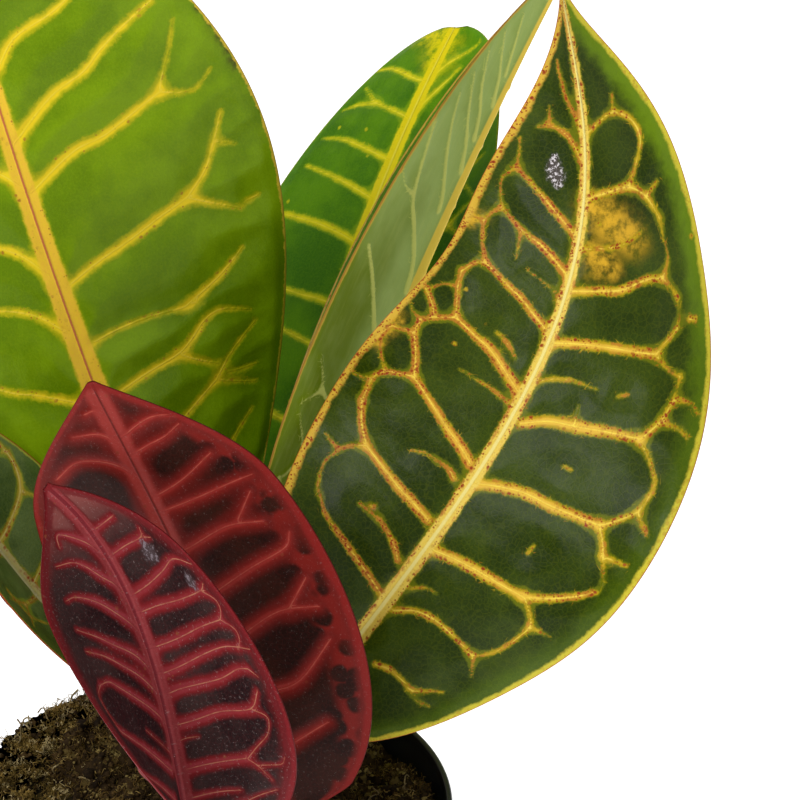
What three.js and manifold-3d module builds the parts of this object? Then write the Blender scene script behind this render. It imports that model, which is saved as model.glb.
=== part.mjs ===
// A croton in its nursery pot: twelve leaves on a woody stem and a second cutting, standing in peat compost.
// Millimetres and degrees, +Z up. The origin is the centre of the pot's underside; the leaves face -Y.
import * as THREE from "three";
import { mergeVertices } from "three/addons/utils/BufferGeometryUtils.js";
import Module from "manifold-3d";

const wasm = await Module();
wasm.setup();

// ---- Driving dimensions -------------------------------------------------------------------------------------------

const GAP = 0.3; // clear air between neighbouring solids

const POT = {
  height: 95,
  rimRadius: 52.5,
  baseRadius: 37,
  wall: 1.3,
  floor: 2,
  lipHeight: 10, // the thicker band at the top
  lipStep: 1.2, // how far the band stands out from the wall
  footDisc: 15, // radius of the flat disc at the middle of the underside
  footRing: 31, // inner radius of the flat ring that the pot stands on
  footRecess: 1,
  drainHoles: 8,
  drainRadius: 3.5,
  drainCircle: 24,
  sides: 48,
};

const COMPOST = {
  level: 86,
  mound: { x: -31, y: 30, height: 12, spread: 17 }, // moss heaped at the back left
  rings: 8,
  sides: 36,
};

// Each stem: the points of its centre line, its radius at the foot and at the tip, and the number of its leaf scars.
const STEMS = {
  stem_main: {
    points: [[0, 3, 52], [0, 4, 90], [1, 6, 120], [0, 8, 142]],
    foot: 5,
    tip: 2.2,
    rings: 15,
  },
  stem_side: {
    points: [[5, -35, 56], [5, -35, 84], [4, -35, 104]],
    foot: 3.8,
    tip: 2,
    rings: 8,
  },
};

const LEAF = {
  thickness: 0.8,
  keel: 1.5, // how far the midrib stands out below the blade at its foot
  petioleRadius: 1.7,
  footRadius: 2.3, // the swelling where the petiole meets the stem
  ribSteps: 80,
  firstStation: 0.045, // the share of the blade's length over which the petiole flattens into it
  lastStation: 0.992,
};

// Each leaf: where its blade begins, the way it heads (azimuth, rise and roll, at its foot and at its tip), and its
// outline. Halves are given as [left, right], seen from the foot with the upper face up. bend says how late along the
// leaf the heading turns, fullness how blunt the ends are, drawnTip how much the tip narrows, fold how far each half is
// lifted about the midrib [left at foot, left at tip, right at foot, right at tip], curl how much it goes on curving.
// node is the height on the stem where its petiole starts.
const LEAVES = {
  leaf_tall_left: {
    stem: "stem_main", node: 100, base: [-5, 31, 106], length: 212, azimuth: [162, 141], rise: [69, 74],
    roll: [-18, -44], bend: 1.15, half: [59, 59], widest: 0.57, fullness: 0.95, drawnTip: 0,
    fold: [-20, -20, 4, 4], curl: [5, 4], color: 0x5a8a12,
  },
  leaf_low_left: {
    stem: "stem_main", node: 94, base: [-9, 6, 108], length: 116, azimuth: [171, 174], rise: [39, 71],
    roll: [-2, -11], bend: 0.95, half: [25, 24], widest: 0.52, fullness: 1.25, drawnTip: 0,
    fold: [24, 24, 19, 19], curl: [0, 5], color: 0x41592f,
  },
  leaf_back_centre: {
    stem: "stem_main", node: 112, base: [6, 47, 117], length: 163, azimuth: [70, 60], rise: [61, 32],
    roll: [4, -15], bend: 0.95, half: [38, 38], widest: 0.47, fullness: 0.4, drawnTip: 0,
    fold: [-9, -9, -23, -23], curl: [-3, 52], color: 0x3f8a10,
  },
  leaf_edge_on: {
    stem: "stem_main", node: 106, base: [9, 17, 125], length: 183, azimuth: [54, 56], rise: [56, 38],
    roll: [-65, -55], bend: 1.05, half: [28, 28], widest: 0.42, fullness: 0.55, drawnTip: 0,
    fold: [40, 40, 33, 33], curl: [5, 3], color: 0x7d9a4e,
  },
  leaf_front_right: {
    stem: "stem_main", node: 103, base: [13, -11, 122], length: 194, azimuth: [23, 165], rise: [49, 81],
    roll: [67, 14], bend: 3, half: [39, 44], widest: 0.4, fullness: 0.8, drawnTip: 0.2,
    fold: [27, -52, 11, 15], curl: [-7, 2], ripple: { height: -10.5, waves: 2.15, phase: 220 }, color: 0x2a3d16,
  },
  leaf_red_upper: {
    stem: "stem_side", node: 97, base: [15, -27, 107], length: 119, azimuth: [149, 204], rise: [68, 69],
    roll: [-70, -122], bend: 2.1, half: [36, 35], widest: 0.47, fullness: 0.5, drawnTip: 0.7,
    fold: [3, 3, -12, -12], curl: [-3, 9], color: 0x5a1a1e,
  },
  leaf_red_lower: {
    stem: "stem_side", node: 93, base: [-6, -45, 113], length: 93, azimuth: [124, 154], rise: [78, 27],
    roll: [-2, -70], bend: 2.1, half: [33, 32], widest: 0.41, fullness: 0.5, drawnTip: 0.55,
    fold: [66, 26, 22, 20], curl: [51, 35], color: 0x4a1c24,
  },
  leaf_low_back_right: {
    stem: "stem_main", node: 93, base: [20, 20, 103], length: 128, azimuth: [54, 44], rise: [30, -12],
    roll: [4, -6], bend: 1, half: [30, 30], widest: 0.46, fullness: 0.7, drawnTip: 0.3,
    fold: [14, 6, 14, 6], curl: [-12, -12], ripple: { height: 2, waves: 2.5, phase: 40 }, color: 0x3b5a1a,
  },
  leaf_low_back: {
    stem: "stem_main", node: 90, base: [3, 36, 101], length: 126, azimuth: [90, 96], rise: [24, -20],
    roll: [-5, 6], bend: 1, half: [27, 27], widest: 0.48, fullness: 0.65, drawnTip: 0.3,
    fold: [12, 5, 12, 5], curl: [-14, -14], ripple: { height: 2, waves: 2, phase: 120 }, color: 0x46701a,
  },
  leaf_low_back_left: {
    stem: "stem_main", node: 95, base: [-12, 25, 102], length: 112, azimuth: [124, 116], rise: [24, -10],
    roll: [-4, 8], bend: 1, half: [25, 25], widest: 0.45, fullness: 0.7, drawnTip: 0.4,
    fold: [15, 6, 15, 6], curl: [-10, -10], ripple: { height: 2, waves: 2.5, phase: 200 }, color: 0x5a2a20,
  },
  leaf_young_left: {
    stem: "stem_main", node: 134, base: [-5, 9, 146], length: 42, azimuth: [196, 184], rise: [78, 66],
    roll: [0, 0], bend: 1, half: [8, 8], widest: 0.45, fullness: 0.9, drawnTip: 0.2,
    fold: [32, 20, 32, 20], curl: [8, 8], cells: 6, steps: 9, color: 0x6fa01e,
  },
  leaf_young_right: {
    stem: "stem_main", node: 138, base: [4, 12, 148], length: 30, azimuth: [70, 84], rise: [80, 72],
    roll: [0, 0], bend: 1, half: [6, 6], widest: 0.42, fullness: 0.9, drawnTip: 0.2,
    fold: [38, 26, 38, 26], curl: [8, 8], cells: 6, steps: 8, color: 0x7db026,
  },
};

// ---- Solids -------------------------------------------------------------------------------------------------------

const radians = THREE.MathUtils.degToRad;
const mix = THREE.MathUtils.lerp;

/** The closed mesh of a three.js geometry, as a manifold. */
function toSolid(geometry) {
  const bare = new THREE.BufferGeometry();
  bare.setAttribute("position", geometry.getAttribute("position"));
  bare.setIndex(geometry.getIndex());
  const merged = mergeVertices(bare, 1e-3);
  const corners = merged.index.array;
  const faces = [];
  for (let i = 0; i < corners.length; i += 3) {
    const [a, b, c] = [corners[i], corners[i + 1], corners[i + 2]];
    if (a !== b && b !== c && c !== a) faces.push(a, b, c);
  }
  const mesh = new wasm.Mesh({
    numProp: 3,
    vertProperties: merged.attributes.position.array,
    triVerts: new Uint32Array(faces),
  });
  return new wasm.Manifold(mesh);
}

/** A three.js geometry of a manifold. */
function toGeometry(solid) {
  const mesh = solid.getMesh();
  const geometry = new THREE.BufferGeometry();
  geometry.setAttribute("position", new THREE.BufferAttribute(mesh.vertProperties, 3));
  geometry.setIndex(new THREE.BufferAttribute(mesh.triVerts, 1));
  geometry.computeVertexNormals();
  return geometry;
}

/**
 * A closed solid through stations along a path. Each station has a row of points over its top, from left to right,
 * and a row of as many points under it, so that both faces split into triangles alike.
 */
function loft(stations) {
  const columns = stations[0].top.length;
  const positions = [];
  const index = [];
  for (const { top, bottom } of stations) {
    for (const point of [...top, ...bottom]) positions.push(point.x, point.y, point.z);
  }
  const topAt = (i, j) => i * 2 * columns + j;
  const bottomAt = (i, j) => topAt(i, j) + columns;
  const last = columns - 1;
  for (let i = 0; i + 1 < stations.length; i++) {
    for (let j = 0; j < last; j++) {
      index.push(topAt(i, j), topAt(i, j + 1), topAt(i + 1, j + 1));
      index.push(topAt(i, j), topAt(i + 1, j + 1), topAt(i + 1, j));
      index.push(bottomAt(i, j), bottomAt(i + 1, j + 1), bottomAt(i, j + 1));
      index.push(bottomAt(i, j), bottomAt(i + 1, j), bottomAt(i + 1, j + 1));
    }
    index.push(topAt(i, 0), topAt(i + 1, 0), bottomAt(i + 1, 0));
    index.push(topAt(i, 0), bottomAt(i + 1, 0), bottomAt(i, 0));
    index.push(topAt(i, last), bottomAt(i + 1, last), topAt(i + 1, last));
    index.push(topAt(i, last), bottomAt(i, last), bottomAt(i + 1, last));
  }
  const end = stations.length - 1;
  for (let j = 0; j < last; j++) {
    index.push(topAt(0, j), bottomAt(0, j + 1), topAt(0, j + 1));
    index.push(topAt(0, j), bottomAt(0, j), bottomAt(0, j + 1));
    index.push(topAt(end, j), topAt(end, j + 1), bottomAt(end, j + 1));
    index.push(topAt(end, j), bottomAt(end, j + 1), bottomAt(end, j));
  }
  const geometry = new THREE.BufferGeometry();
  geometry.setAttribute("position", new THREE.Float32BufferAttribute(positions, 3));
  geometry.setIndex(index);
  geometry.computeVertexNormals();
  return geometry;
}

/** A round station of a loft: centre, sideways and upward unit vectors, and radius. */
function roundStation(centre, side, up, radius, columns) {
  const point = (turn) =>
    centre
      .clone()
      .addScaledVector(side, radius * Math.cos(turn))
      .addScaledVector(up, radius * Math.sin(turn));
  const edge = Math.PI / (2 * columns);
  const top = [];
  const bottom = [];
  for (let j = 0; j < columns; j++) {
    const turn = mix(edge, Math.PI - edge, j / (columns - 1));
    top.push(point(turn));
    bottom.push(point(-turn));
  }
  return { top, bottom };
}

// ---- Pot ----------------------------------------------------------------------------------------------------------

/** The pot's inner radius at a height. */
function potInside(z) {
  return mix(POT.baseRadius, POT.rimRadius - POT.lipStep, z / POT.height) - POT.wall;
}

function buildPot() {
  const { height, rimRadius, baseRadius, wall, floor, lipHeight, lipStep } = POT;
  const wallRadius = rimRadius - lipStep;
  const lipFoot = height - lipHeight;
  const outside = (z) => mix(baseRadius, wallRadius, z / height);
  const profile = [
    [0, 0],
    [POT.footDisc, 0],
    [POT.footDisc + 1, POT.footRecess],
    [POT.footRing - 1, POT.footRecess],
    [POT.footRing, 0],
    [baseRadius - 1, 0],
    [outside(1), 1],
    [outside(lipFoot), lipFoot],
    [outside(lipFoot) + lipStep, lipFoot + 1],
    [rimRadius, height - 0.5],
    [rimRadius - 0.5, height],
    [rimRadius - lipStep - wall + 0.4, height],
    [potInside(height - 0.5), height - 0.5],
    [potInside(floor), floor],
    [0, floor],
  ].map(([radius, z]) => new THREE.Vector2(radius, z));
  const shell = new THREE.LatheGeometry(profile, POT.sides).rotateX(Math.PI / 2);
  let solid = toSolid(shell);
  for (let k = 0; k < POT.drainHoles; k++) {
    const turn = (2 * Math.PI * (k + 0.5)) / POT.drainHoles;
    const drill = new THREE.CylinderGeometry(POT.drainRadius, POT.drainRadius, 4 * floor, 10)
      .rotateX(Math.PI / 2)
      .translate(POT.drainCircle * Math.cos(turn), POT.drainCircle * Math.sin(turn), 0);
    solid = solid.subtract(toSolid(drill));
  }
  return toGeometry(solid);
}

// ---- Compost ------------------------------------------------------------------------------------------------------

/** Height of the compost's surface: a level top with clods, and the mossy mound at the back left. */
function compostHeight(x, y) {
  const { level, mound } = COMPOST;
  const away = Math.hypot(x - mound.x, y - mound.y) / mound.spread;
  const heap = mound.height * Math.exp(-0.5 * away * away);
  const clods = 1.3 * Math.sin(0.21 * x + 1) * Math.cos(0.18 * y) + 0.8 * Math.sin(0.47 * x - 0.31 * y + 2);
  return level + heap + clods;
}

function buildCompost(stems) {
  const { rings, sides } = COMPOST;
  const floorZ = POT.floor + GAP;
  const floorRadius = potInside(floorZ) - GAP;
  const topRadius = potInside(COMPOST.level) - GAP;
  const positions = [0, 0, floorZ, 0, 0, compostHeight(0, 0)];
  const index = [];
  const ringAt = (ring, k) => 2 + ring * sides + (k % sides);
  for (let ring = 0; ring <= rings; ring++) {
    for (let k = 0; k < sides; k++) {
      const turn = (2 * Math.PI * k) / sides;
      const radius = ring ? (topRadius * ring) / rings : floorRadius;
      const [x, y] = [radius * Math.cos(turn), radius * Math.sin(turn)];
      positions.push(x, y, ring ? compostHeight(x, y) : floorZ);
    }
  }
  for (let k = 0; k < sides; k++) {
    index.push(0, ringAt(0, k + 1), ringAt(0, k));
    index.push(1, ringAt(1, k), ringAt(1, k + 1));
    for (let ring = 1; ring < rings; ring++) {
      index.push(ringAt(ring, k), ringAt(ring + 1, k), ringAt(ring + 1, k + 1));
      index.push(ringAt(ring, k), ringAt(ring + 1, k + 1), ringAt(ring, k + 1));
    }
    index.push(ringAt(0, k), ringAt(0, k + 1), ringAt(rings, k + 1));
    index.push(ringAt(0, k), ringAt(rings, k + 1), ringAt(rings, k));
  }
  const geometry = new THREE.BufferGeometry();
  geometry.setAttribute("position", new THREE.Float32BufferAttribute(positions, 3));
  geometry.setIndex(index);
  let solid = toSolid(geometry);
  for (const { points, foot } of Object.values(stems)) {
    const [x, y, z] = points[0];
    const depth = POT.height - z + GAP;
    const hole = new THREE.CylinderGeometry(foot + 2 * GAP, foot + 2 * GAP, depth, 16)
      .rotateX(Math.PI / 2)
      .translate(x, y, z - GAP + depth / 2);
    solid = solid.subtract(toSolid(hole));
  }
  return toGeometry(solid);
}

// ---- Stems --------------------------------------------------------------------------------------------------------

/** Centre line of a stem, as a smooth curve. */
function stemCurve(stem) {
  return new THREE.CatmullRomCurve3(stem.points.map((p) => new THREE.Vector3(...p)));
}

/** Radius of a stem at a share of its length, without the swelling at each leaf scar. */
function stemRadius(stem, share) {
  return mix(stem.foot, stem.tip, share ** 1.6);
}

/** A woody shoot that narrows upwards and swells a little at every other ring, where leaves grew. */
function buildStem(stem) {
  const curve = stemCurve(stem);
  const side = new THREE.Vector3(1, 0, 0);
  const stations = [];
  for (let k = 0; k <= stem.rings; k++) {
    const share = k / stem.rings;
    const along = curve.getTangentAt(share);
    const right = side.clone().addScaledVector(along, -side.dot(along)).normalize();
    const up = along.clone().cross(right);
    const swell = k % 2 ? 1 : 0.9;
    stations.push(roundStation(curve.getPointAt(share), right, up, swell * stemRadius(stem, share), 6));
  }
  return loft(stations);
}

// ---- Leaves -------------------------------------------------------------------------------------------------------

/** The leaf's own forward, sideways (left) and upward unit vectors at a share t of the blade's length. */
function bladeFrame(leaf, t) {
  const turned = Math.max(t, 1e-6) ** leaf.bend;
  const azimuth = radians(mix(...leaf.azimuth, turned));
  const rise = radians(mix(...leaf.rise, turned));
  const roll = radians(mix(...leaf.roll, t));
  const forward = new THREE.Vector3(
    Math.cos(rise) * Math.cos(azimuth),
    Math.cos(rise) * Math.sin(azimuth),
    Math.sin(rise),
  );
  const level = new THREE.Vector3(-Math.sin(azimuth), Math.cos(azimuth), 0);
  const square = forward.clone().cross(level);
  const left = level.clone().multiplyScalar(Math.cos(roll)).addScaledVector(square, Math.sin(roll));
  const up = square.clone().multiplyScalar(Math.cos(roll)).addScaledVector(level, -Math.sin(roll));
  return { forward, left, up };
}

/** The point of the midrib at a share t of the blade's length. */
function ribPoint(leaf, t) {
  const point = new THREE.Vector3(...leaf.base);
  const step = 1 / LEAF.ribSteps;
  for (let start = 0; start < t - 1e-9; start += step) {
    const span = Math.min(step, t - start);
    point.addScaledVector(bladeFrame(leaf, start + span / 2).forward, span * leaf.length);
  }
  return point;
}

/** Half width of the blade at t, as a share of its widest. */
function outline(leaf, t) {
  const rising = leaf.fullness;
  const falling = (rising * (1 - leaf.widest)) / leaf.widest;
  const narrowed = THREE.MathUtils.clamp((t - 0.72) / 0.28, 0, 1);
  const body = (t / leaf.widest) ** rising * ((1 - t) / (1 - leaf.widest)) ** falling;
  return body * (1 - leaf.drawnTip * narrowed * narrowed);
}

/** A point of the blade's upper face and the way the face looks there; v runs from 1 (left edge) to -1 (right edge). */
function bladePoint(leaf, t, v, frame, centre) {
  const half = v >= 0 ? 0 : 1;
  const side = v >= 0 ? 1 : -1;
  const share = Math.abs(v);
  const width = leaf.half[half] * outline(leaf, t);
  const fold = radians(mix(leaf.fold[2 * half], leaf.fold[2 * half + 1], t));
  const curl = radians(leaf.curl[half]);
  const flat = Math.abs(curl) < 1e-4;
  const out = flat ? width * share * Math.cos(fold) : (width / curl) * (Math.sin(fold + curl * share) - Math.sin(fold));
  let lift = flat ? width * share * Math.sin(fold) : (width / curl) * (Math.cos(fold) - Math.cos(fold + curl * share));
  if (leaf.ripple) {
    const { height, waves, phase } = leaf.ripple;
    const lag = half ? 1.3 : 0;
    const wave = Math.sin(2 * Math.PI * waves * t + radians(phase) + lag);
    lift += height * wave * share * share * outline(leaf, t);
  }
  const point = centre.clone().addScaledVector(frame.left, side * out).addScaledVector(frame.up, lift);
  const tilt = fold + curl * share;
  const facing = frame.up
    .clone()
    .multiplyScalar(Math.cos(tilt))
    .addScaledVector(frame.left, -side * Math.sin(tilt));
  return { point, facing };
}

/** One station of the blade: thin at the edges, with the keel of the midrib below the middle. */
function bladeStation(leaf, t, cells) {
  const frame = bladeFrame(leaf, t);
  const centre = ribPoint(leaf, t);
  const width = Math.max(Math.min(...leaf.half) * outline(leaf, t), 0.5);
  const ribShare = Math.min(0.35, 1.7 / width);
  const shares = [];
  for (let j = 1; j <= cells / 2; j++) {
    shares.push(mix(ribShare, 1, (j - 1) / (cells / 2 - 1)));
  }
  const columns = [...shares.slice().reverse(), 0, ...shares.map((share) => -share)];
  const top = [];
  const bottom = [];
  for (const v of columns) {
    const { point, facing } = bladePoint(leaf, t, v, frame, centre);
    const depth = v === 0 ? LEAF.thickness + mix(LEAF.keel, 0.1, t) : LEAF.thickness;
    top.push(point);
    bottom.push(point.clone().addScaledVector(facing, -depth));
  }
  return { top, bottom };
}

/** A leaf in one piece: petiole from the stem, then the blade to its tip. */
function buildLeaf(leaf) {
  const stem = STEMS[leaf.stem];
  const cells = leaf.cells ?? 8;
  const columns = cells + 1;
  const curve = stemCurve(stem);
  const { point: axisPoint, radius } = stemAtHeight(stem, curve, leaf.node);
  const base = new THREE.Vector3(...leaf.base);
  const outward = base.clone().sub(axisPoint).setZ(0).normalize();
  const start = axisPoint.clone().addScaledVector(outward, radius + GAP + 0.6);
  const { forward } = bladeFrame(leaf, 0);
  const reach = start.distanceTo(base);
  const petiole = new THREE.CubicBezierCurve3(
    start,
    start.clone().addScaledVector(outward, 0.3 * reach).setZ(start.z + 0.1 * reach),
    base.clone().addScaledVector(forward, -0.4 * reach),
    base,
  );
  const stations = [];
  const petioleSteps = 5;
  for (let k = 0; k < petioleSteps; k++) {
    const share = k / petioleSteps;
    const along = petiole.getTangentAt(share);
    const towards = bladeFrame(leaf, 0).left;
    const left = towards.clone().addScaledVector(along, -towards.dot(along)).normalize();
    const up = along.clone().cross(left);
    const thick = mix(LEAF.footRadius, LEAF.petioleRadius, Math.min(1, 2 * share));
    stations.push(roundStation(petiole.getPointAt(share), left, up, thick, columns));
  }
  const frame = bladeFrame(leaf, 0);
  stations.push(roundStation(base, frame.left, frame.up, LEAF.petioleRadius, columns));
  const bladeSteps = leaf.steps ?? 15;
  for (let k = 0; k <= bladeSteps; k++) {
    const eased = 0.5 - 0.5 * Math.cos((Math.PI * k) / bladeSteps);
    const t = mix(LEAF.firstStation, LEAF.lastStation, mix(k / bladeSteps, eased, 0.6));
    stations.push(bladeStation(leaf, t, cells));
  }
  return loft(stations);
}

/** The stem's centre and radius at a height. */
function stemAtHeight(stem, curve, z) {
  let share = 0;
  while (share < 1 && curve.getPointAt(share).z < z) share += 0.005;
  return { point: curve.getPointAt(Math.min(share, 1)), radius: stemRadius(stem, share) };
}

// ---- Assembly -----------------------------------------------------------------------------------------------------

const plant = new THREE.Group();

/** Adds one named piece with its own material. */
function addPiece(name, geometry, color, roughness) {
  const material = new THREE.MeshStandardMaterial({ color, roughness, metalness: 0 });
  const mesh = new THREE.Mesh(geometry, material);
  mesh.name = name;
  plant.add(mesh);
}

addPiece("pot", buildPot(), 0x17181a, 0.45);
addPiece("compost", buildCompost(STEMS), 0x2e261a, 0.95);
for (const [name, stem] of Object.entries(STEMS)) addPiece(name, buildStem(stem), 0x6b5a3c, 0.8);
for (const [name, leaf] of Object.entries(LEAVES)) addPiece(name, buildLeaf(leaf), leaf.color, 0.4);

export default plant;
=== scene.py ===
"""A croton in its nursery pot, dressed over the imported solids. Metres, +Z up; the leaves face -Y."""

import logging
import math
from dataclasses import dataclass
from enum import Enum
from typing import Any, Iterable, Mapping, Union

import bpy
import numpy as np
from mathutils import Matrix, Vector, noise


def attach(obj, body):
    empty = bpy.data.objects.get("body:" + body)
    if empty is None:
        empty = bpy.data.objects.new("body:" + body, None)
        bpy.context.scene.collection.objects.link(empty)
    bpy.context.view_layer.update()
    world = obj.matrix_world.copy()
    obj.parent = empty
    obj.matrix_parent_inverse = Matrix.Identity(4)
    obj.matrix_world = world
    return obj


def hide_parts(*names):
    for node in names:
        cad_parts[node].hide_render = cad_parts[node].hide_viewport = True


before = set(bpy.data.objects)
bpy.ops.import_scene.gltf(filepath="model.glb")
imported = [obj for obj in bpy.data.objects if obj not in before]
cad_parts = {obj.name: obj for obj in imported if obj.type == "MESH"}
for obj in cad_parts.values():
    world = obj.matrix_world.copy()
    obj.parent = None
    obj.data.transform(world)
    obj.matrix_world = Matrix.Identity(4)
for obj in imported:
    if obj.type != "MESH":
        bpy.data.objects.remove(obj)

LOG = logging.getLogger("croton")
MM = 0.001
CENTIMETRE = 0.01
BODY = "root"

Code = str  # a colour's hex code, such as "3a5f0b"
Tint = tuple[float, float, float, float]
Number = Union[float, "Wire"]


def tint(code: Code, share: float = 1.0) -> Tint:
    """Linear colour of a hex code, dimmed to a share of itself."""
    parts = [int(code[i:i + 2], 16) / 255 for i in (0, 2, 4)]
    red, green, blue = (p / 12.92 if p <= 0.04045 else ((p + 0.055) / 1.055) ** 2.4 for p in parts)
    return (share * red, share * green, share * blue, 1.0)


def smooth_step(value: np.ndarray, low: float, high: float) -> np.ndarray:
    """0 below low, 1 above high, and a smooth rise between them."""
    share = np.clip((value - low) / (high - low), 0.0, 1.0)
    return share * share * (3 - 2 * share)


# ---- Node trees ----


class Wire:
    """A number carried by a socket, on which sums are written as plain Python."""

    def __init__(self, bench: "Bench", socket: bpy.types.NodeSocket) -> None:
        """Keeps the bench that adds nodes and the socket that carries the number."""
        self.bench = bench
        self.socket = socket

    def _sum(self, operation: str, *terms: Number) -> "Wire":
        """A Math node over the terms."""
        made = self.bench.node("ShaderNodeMath", {"operation": operation}, dict(enumerate(terms)))
        return Wire(self.bench, made.outputs[0])

    def __add__(self, other: Number) -> "Wire":
        """self + other."""
        return self._sum("ADD", self, other)

    __radd__ = __add__

    def __sub__(self, other: Number) -> "Wire":
        """self - other."""
        return self._sum("SUBTRACT", self, other)

    def __rsub__(self, other: Number) -> "Wire":
        """other - self."""
        return self._sum("SUBTRACT", other, self)

    def __mul__(self, other: Number) -> "Wire":
        """self * other."""
        return self._sum("MULTIPLY", self, other)

    __rmul__ = __mul__

    def __truediv__(self, other: Number) -> "Wire":
        """self / other."""
        return self._sum("DIVIDE", self, other)

    def __rtruediv__(self, other: Number) -> "Wire":
        """other / self."""
        return self._sum("DIVIDE", other, self)

    def __pow__(self, other: Number) -> "Wire":
        """self to the power other."""
        return self._sum("POWER", self, other)

    def __abs__(self) -> "Wire":
        """The size of self."""
        return self._sum("ABSOLUTE", self)

    def most(self, other: Number) -> "Wire":
        """The larger of the two."""
        return self._sum("MAXIMUM", self, other)

    def least(self, other: Number) -> "Wire":
        """The smaller of the two."""
        return self._sum("MINIMUM", self, other)

    def above(self, level: Number) -> "Wire":
        """1 where self is above the level."""
        return self._sum("GREATER_THAN", self, level)

    def whole(self) -> "Wire":
        """self rounded down."""
        return self._sum("FLOOR", self)

    def remainder(self, other: Number) -> "Wire":
        """What is left of self after whole others."""
        return self._sum("FLOORED_MODULO", self, other)

    def cosine(self) -> "Wire":
        """Cosine of self in radians."""
        return self._sum("COSINE", self)

    def sine(self) -> "Wire":
        """Sine of self in radians."""
        return self._sum("SINE", self)

    def rise(self, low: float, high: float) -> "Wire":
        """0 below low, 1 above high, with a smooth rise between."""
        made = self.bench.node(
            "ShaderNodeMapRange",
            {"interpolation_type": "SMOOTHSTEP"},
            {"Value": self, "From Min": low, "From Max": high},
        )
        return Wire(self.bench, made.outputs[0])

    def fall(self, low: float, high: float) -> "Wire":
        """1 below low, 0 above high."""
        return 1 - self.rise(low, high)


class Bench:
    """A node tree under construction. Every node comes from its node method."""

    def __init__(self, tree: bpy.types.NodeTree) -> None:
        """Keeps the tree that the nodes go into."""
        self.tree = tree

    def node(
        self,
        kind: str,
        settings: Mapping[str, Any] | None = None,
        sockets: Mapping[int | str, Any] | None = None,
    ) -> bpy.types.Node:
        """Adds a node.

        Args:
            kind: the node's type.
            settings: its properties, set first; items is the number of entries of an Index Switch.
            sockets: values, wires or sockets for its inputs, by name or place.

        Returns:
            The node.
        """
        made = self.tree.nodes.new(kind)
        for key, value in (settings or {}).items():
            if key == "items":
                while len(made.index_switch_items) < value:
                    made.index_switch_items.new()
            else:
                setattr(made, key, value)
        for key, value in (sockets or {}).items():
            if isinstance(value, Wire):
                self.tree.links.new(value.socket, made.inputs[key])
            elif isinstance(value, bpy.types.NodeSocket):
                self.tree.links.new(value, made.inputs[key])
            else:
                made.inputs[key].default_value = value
        return made

    def wire(self, node: bpy.types.Node, output: int | str = 0) -> Wire:
        """A wire from a node's output."""
        return Wire(self, node.outputs[output])

    def attribute(self, name: str) -> Wire:
        """A number stored on the mesh."""
        return self.wire(self.node("ShaderNodeAttribute", {"attribute_name": name}), "Fac")

    def place(self, name: str) -> bpy.types.NodeSocket:
        """A vector stored on the mesh."""
        return self.node("ShaderNodeAttribute", {"attribute_name": name}).outputs["Vector"]

    def object_place(self) -> bpy.types.NodeSocket:
        """The piece's own coordinates."""
        return self.node("ShaderNodeTexCoord").outputs["Object"]

    def grain(self, at: Any, scale: float, detail: float = 2.0, rough: float = 0.5) -> Wire:
        """Cloudy noise between 0 and 1."""
        sockets = {"Vector": at, "Scale": scale, "Detail": detail, "Roughness": rough}
        return self.wire(self.node("ShaderNodeTexNoise", {}, sockets), "Fac")

    def cells(self, at: Any, scale: float) -> tuple[Wire, Wire]:
        """Cells: the distance from their points, and a number of each cell's own."""
        made = self.node("ShaderNodeTexVoronoi", {"feature": "F1"}, {"Vector": at, "Scale": scale})
        split = self.node("ShaderNodeSeparateColor", {}, {0: made.outputs["Color"]})
        return self.wire(made, "Distance"), self.wire(split, 0)

    def walls(self, at: Any, scale: float) -> Wire:
        """The distance from the walls between cells."""
        made = self.node("ShaderNodeTexVoronoi", {"feature": "DISTANCE_TO_EDGE"}, {
            "Vector": at, "Scale": scale})
        return self.wire(made, "Distance")

    def blend(self, share: Number, first: Any, second: Any) -> bpy.types.NodeSocket:
        """Mixes two colours, given as codes, tints or sockets: first at share 0, second at share 1."""
        first, second = (tint(colour) if isinstance(colour, str) else colour for colour in (first, second))
        made = self.node("ShaderNodeMix", {"data_type": "RGBA"}, {0: share, 6: first, 7: second})
        return made.outputs[2]

    def shift(self, vector: Any, other: Any, operation: str = "ADD") -> bpy.types.NodeSocket:
        """Vector Math on two vectors."""
        return self.node("ShaderNodeVectorMath", {"operation": operation}, {0: vector, 1: other}).outputs[0]

    def jitter(self, scale: float, reach: float, detail: float = 2.0) -> bpy.types.NodeSocket:
        """A noisy offset for points: half a reach each way at most."""
        rough = self.node("ShaderNodeTexNoise", {}, {"Scale": scale, "Detail": detail})
        centred = self.shift(rough.outputs["Color"], (0.5, 0.5, 0.5), "SUBTRACT")
        return self.shift(centred, (reach, reach, reach), "MULTIPLY")

    def dress(self, shader: bpy.types.Node, colour: bpy.types.NodeSocket, rough: Wire, height: Wire,
              strength: float, shine: float) -> None:
        """Gives a shader what its surface shows.

        Args:
            shader: the Principled shader.
            colour: its base colour.
            rough: its roughness.
            height: its relief in millimetres.
            strength: how strongly the relief shows.
            shine: its specular level.
        """
        bump = self.node("ShaderNodeBump", {}, {"Strength": strength, "Distance": MM, "Height": height})
        self.tree.links.new(colour, shader.inputs["Base Color"])
        self.tree.links.new(rough.socket, shader.inputs["Roughness"])
        self.tree.links.new(bump.outputs[0], shader.inputs["Normal"])
        shader.inputs["Specular IOR Level"].default_value = shine


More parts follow.
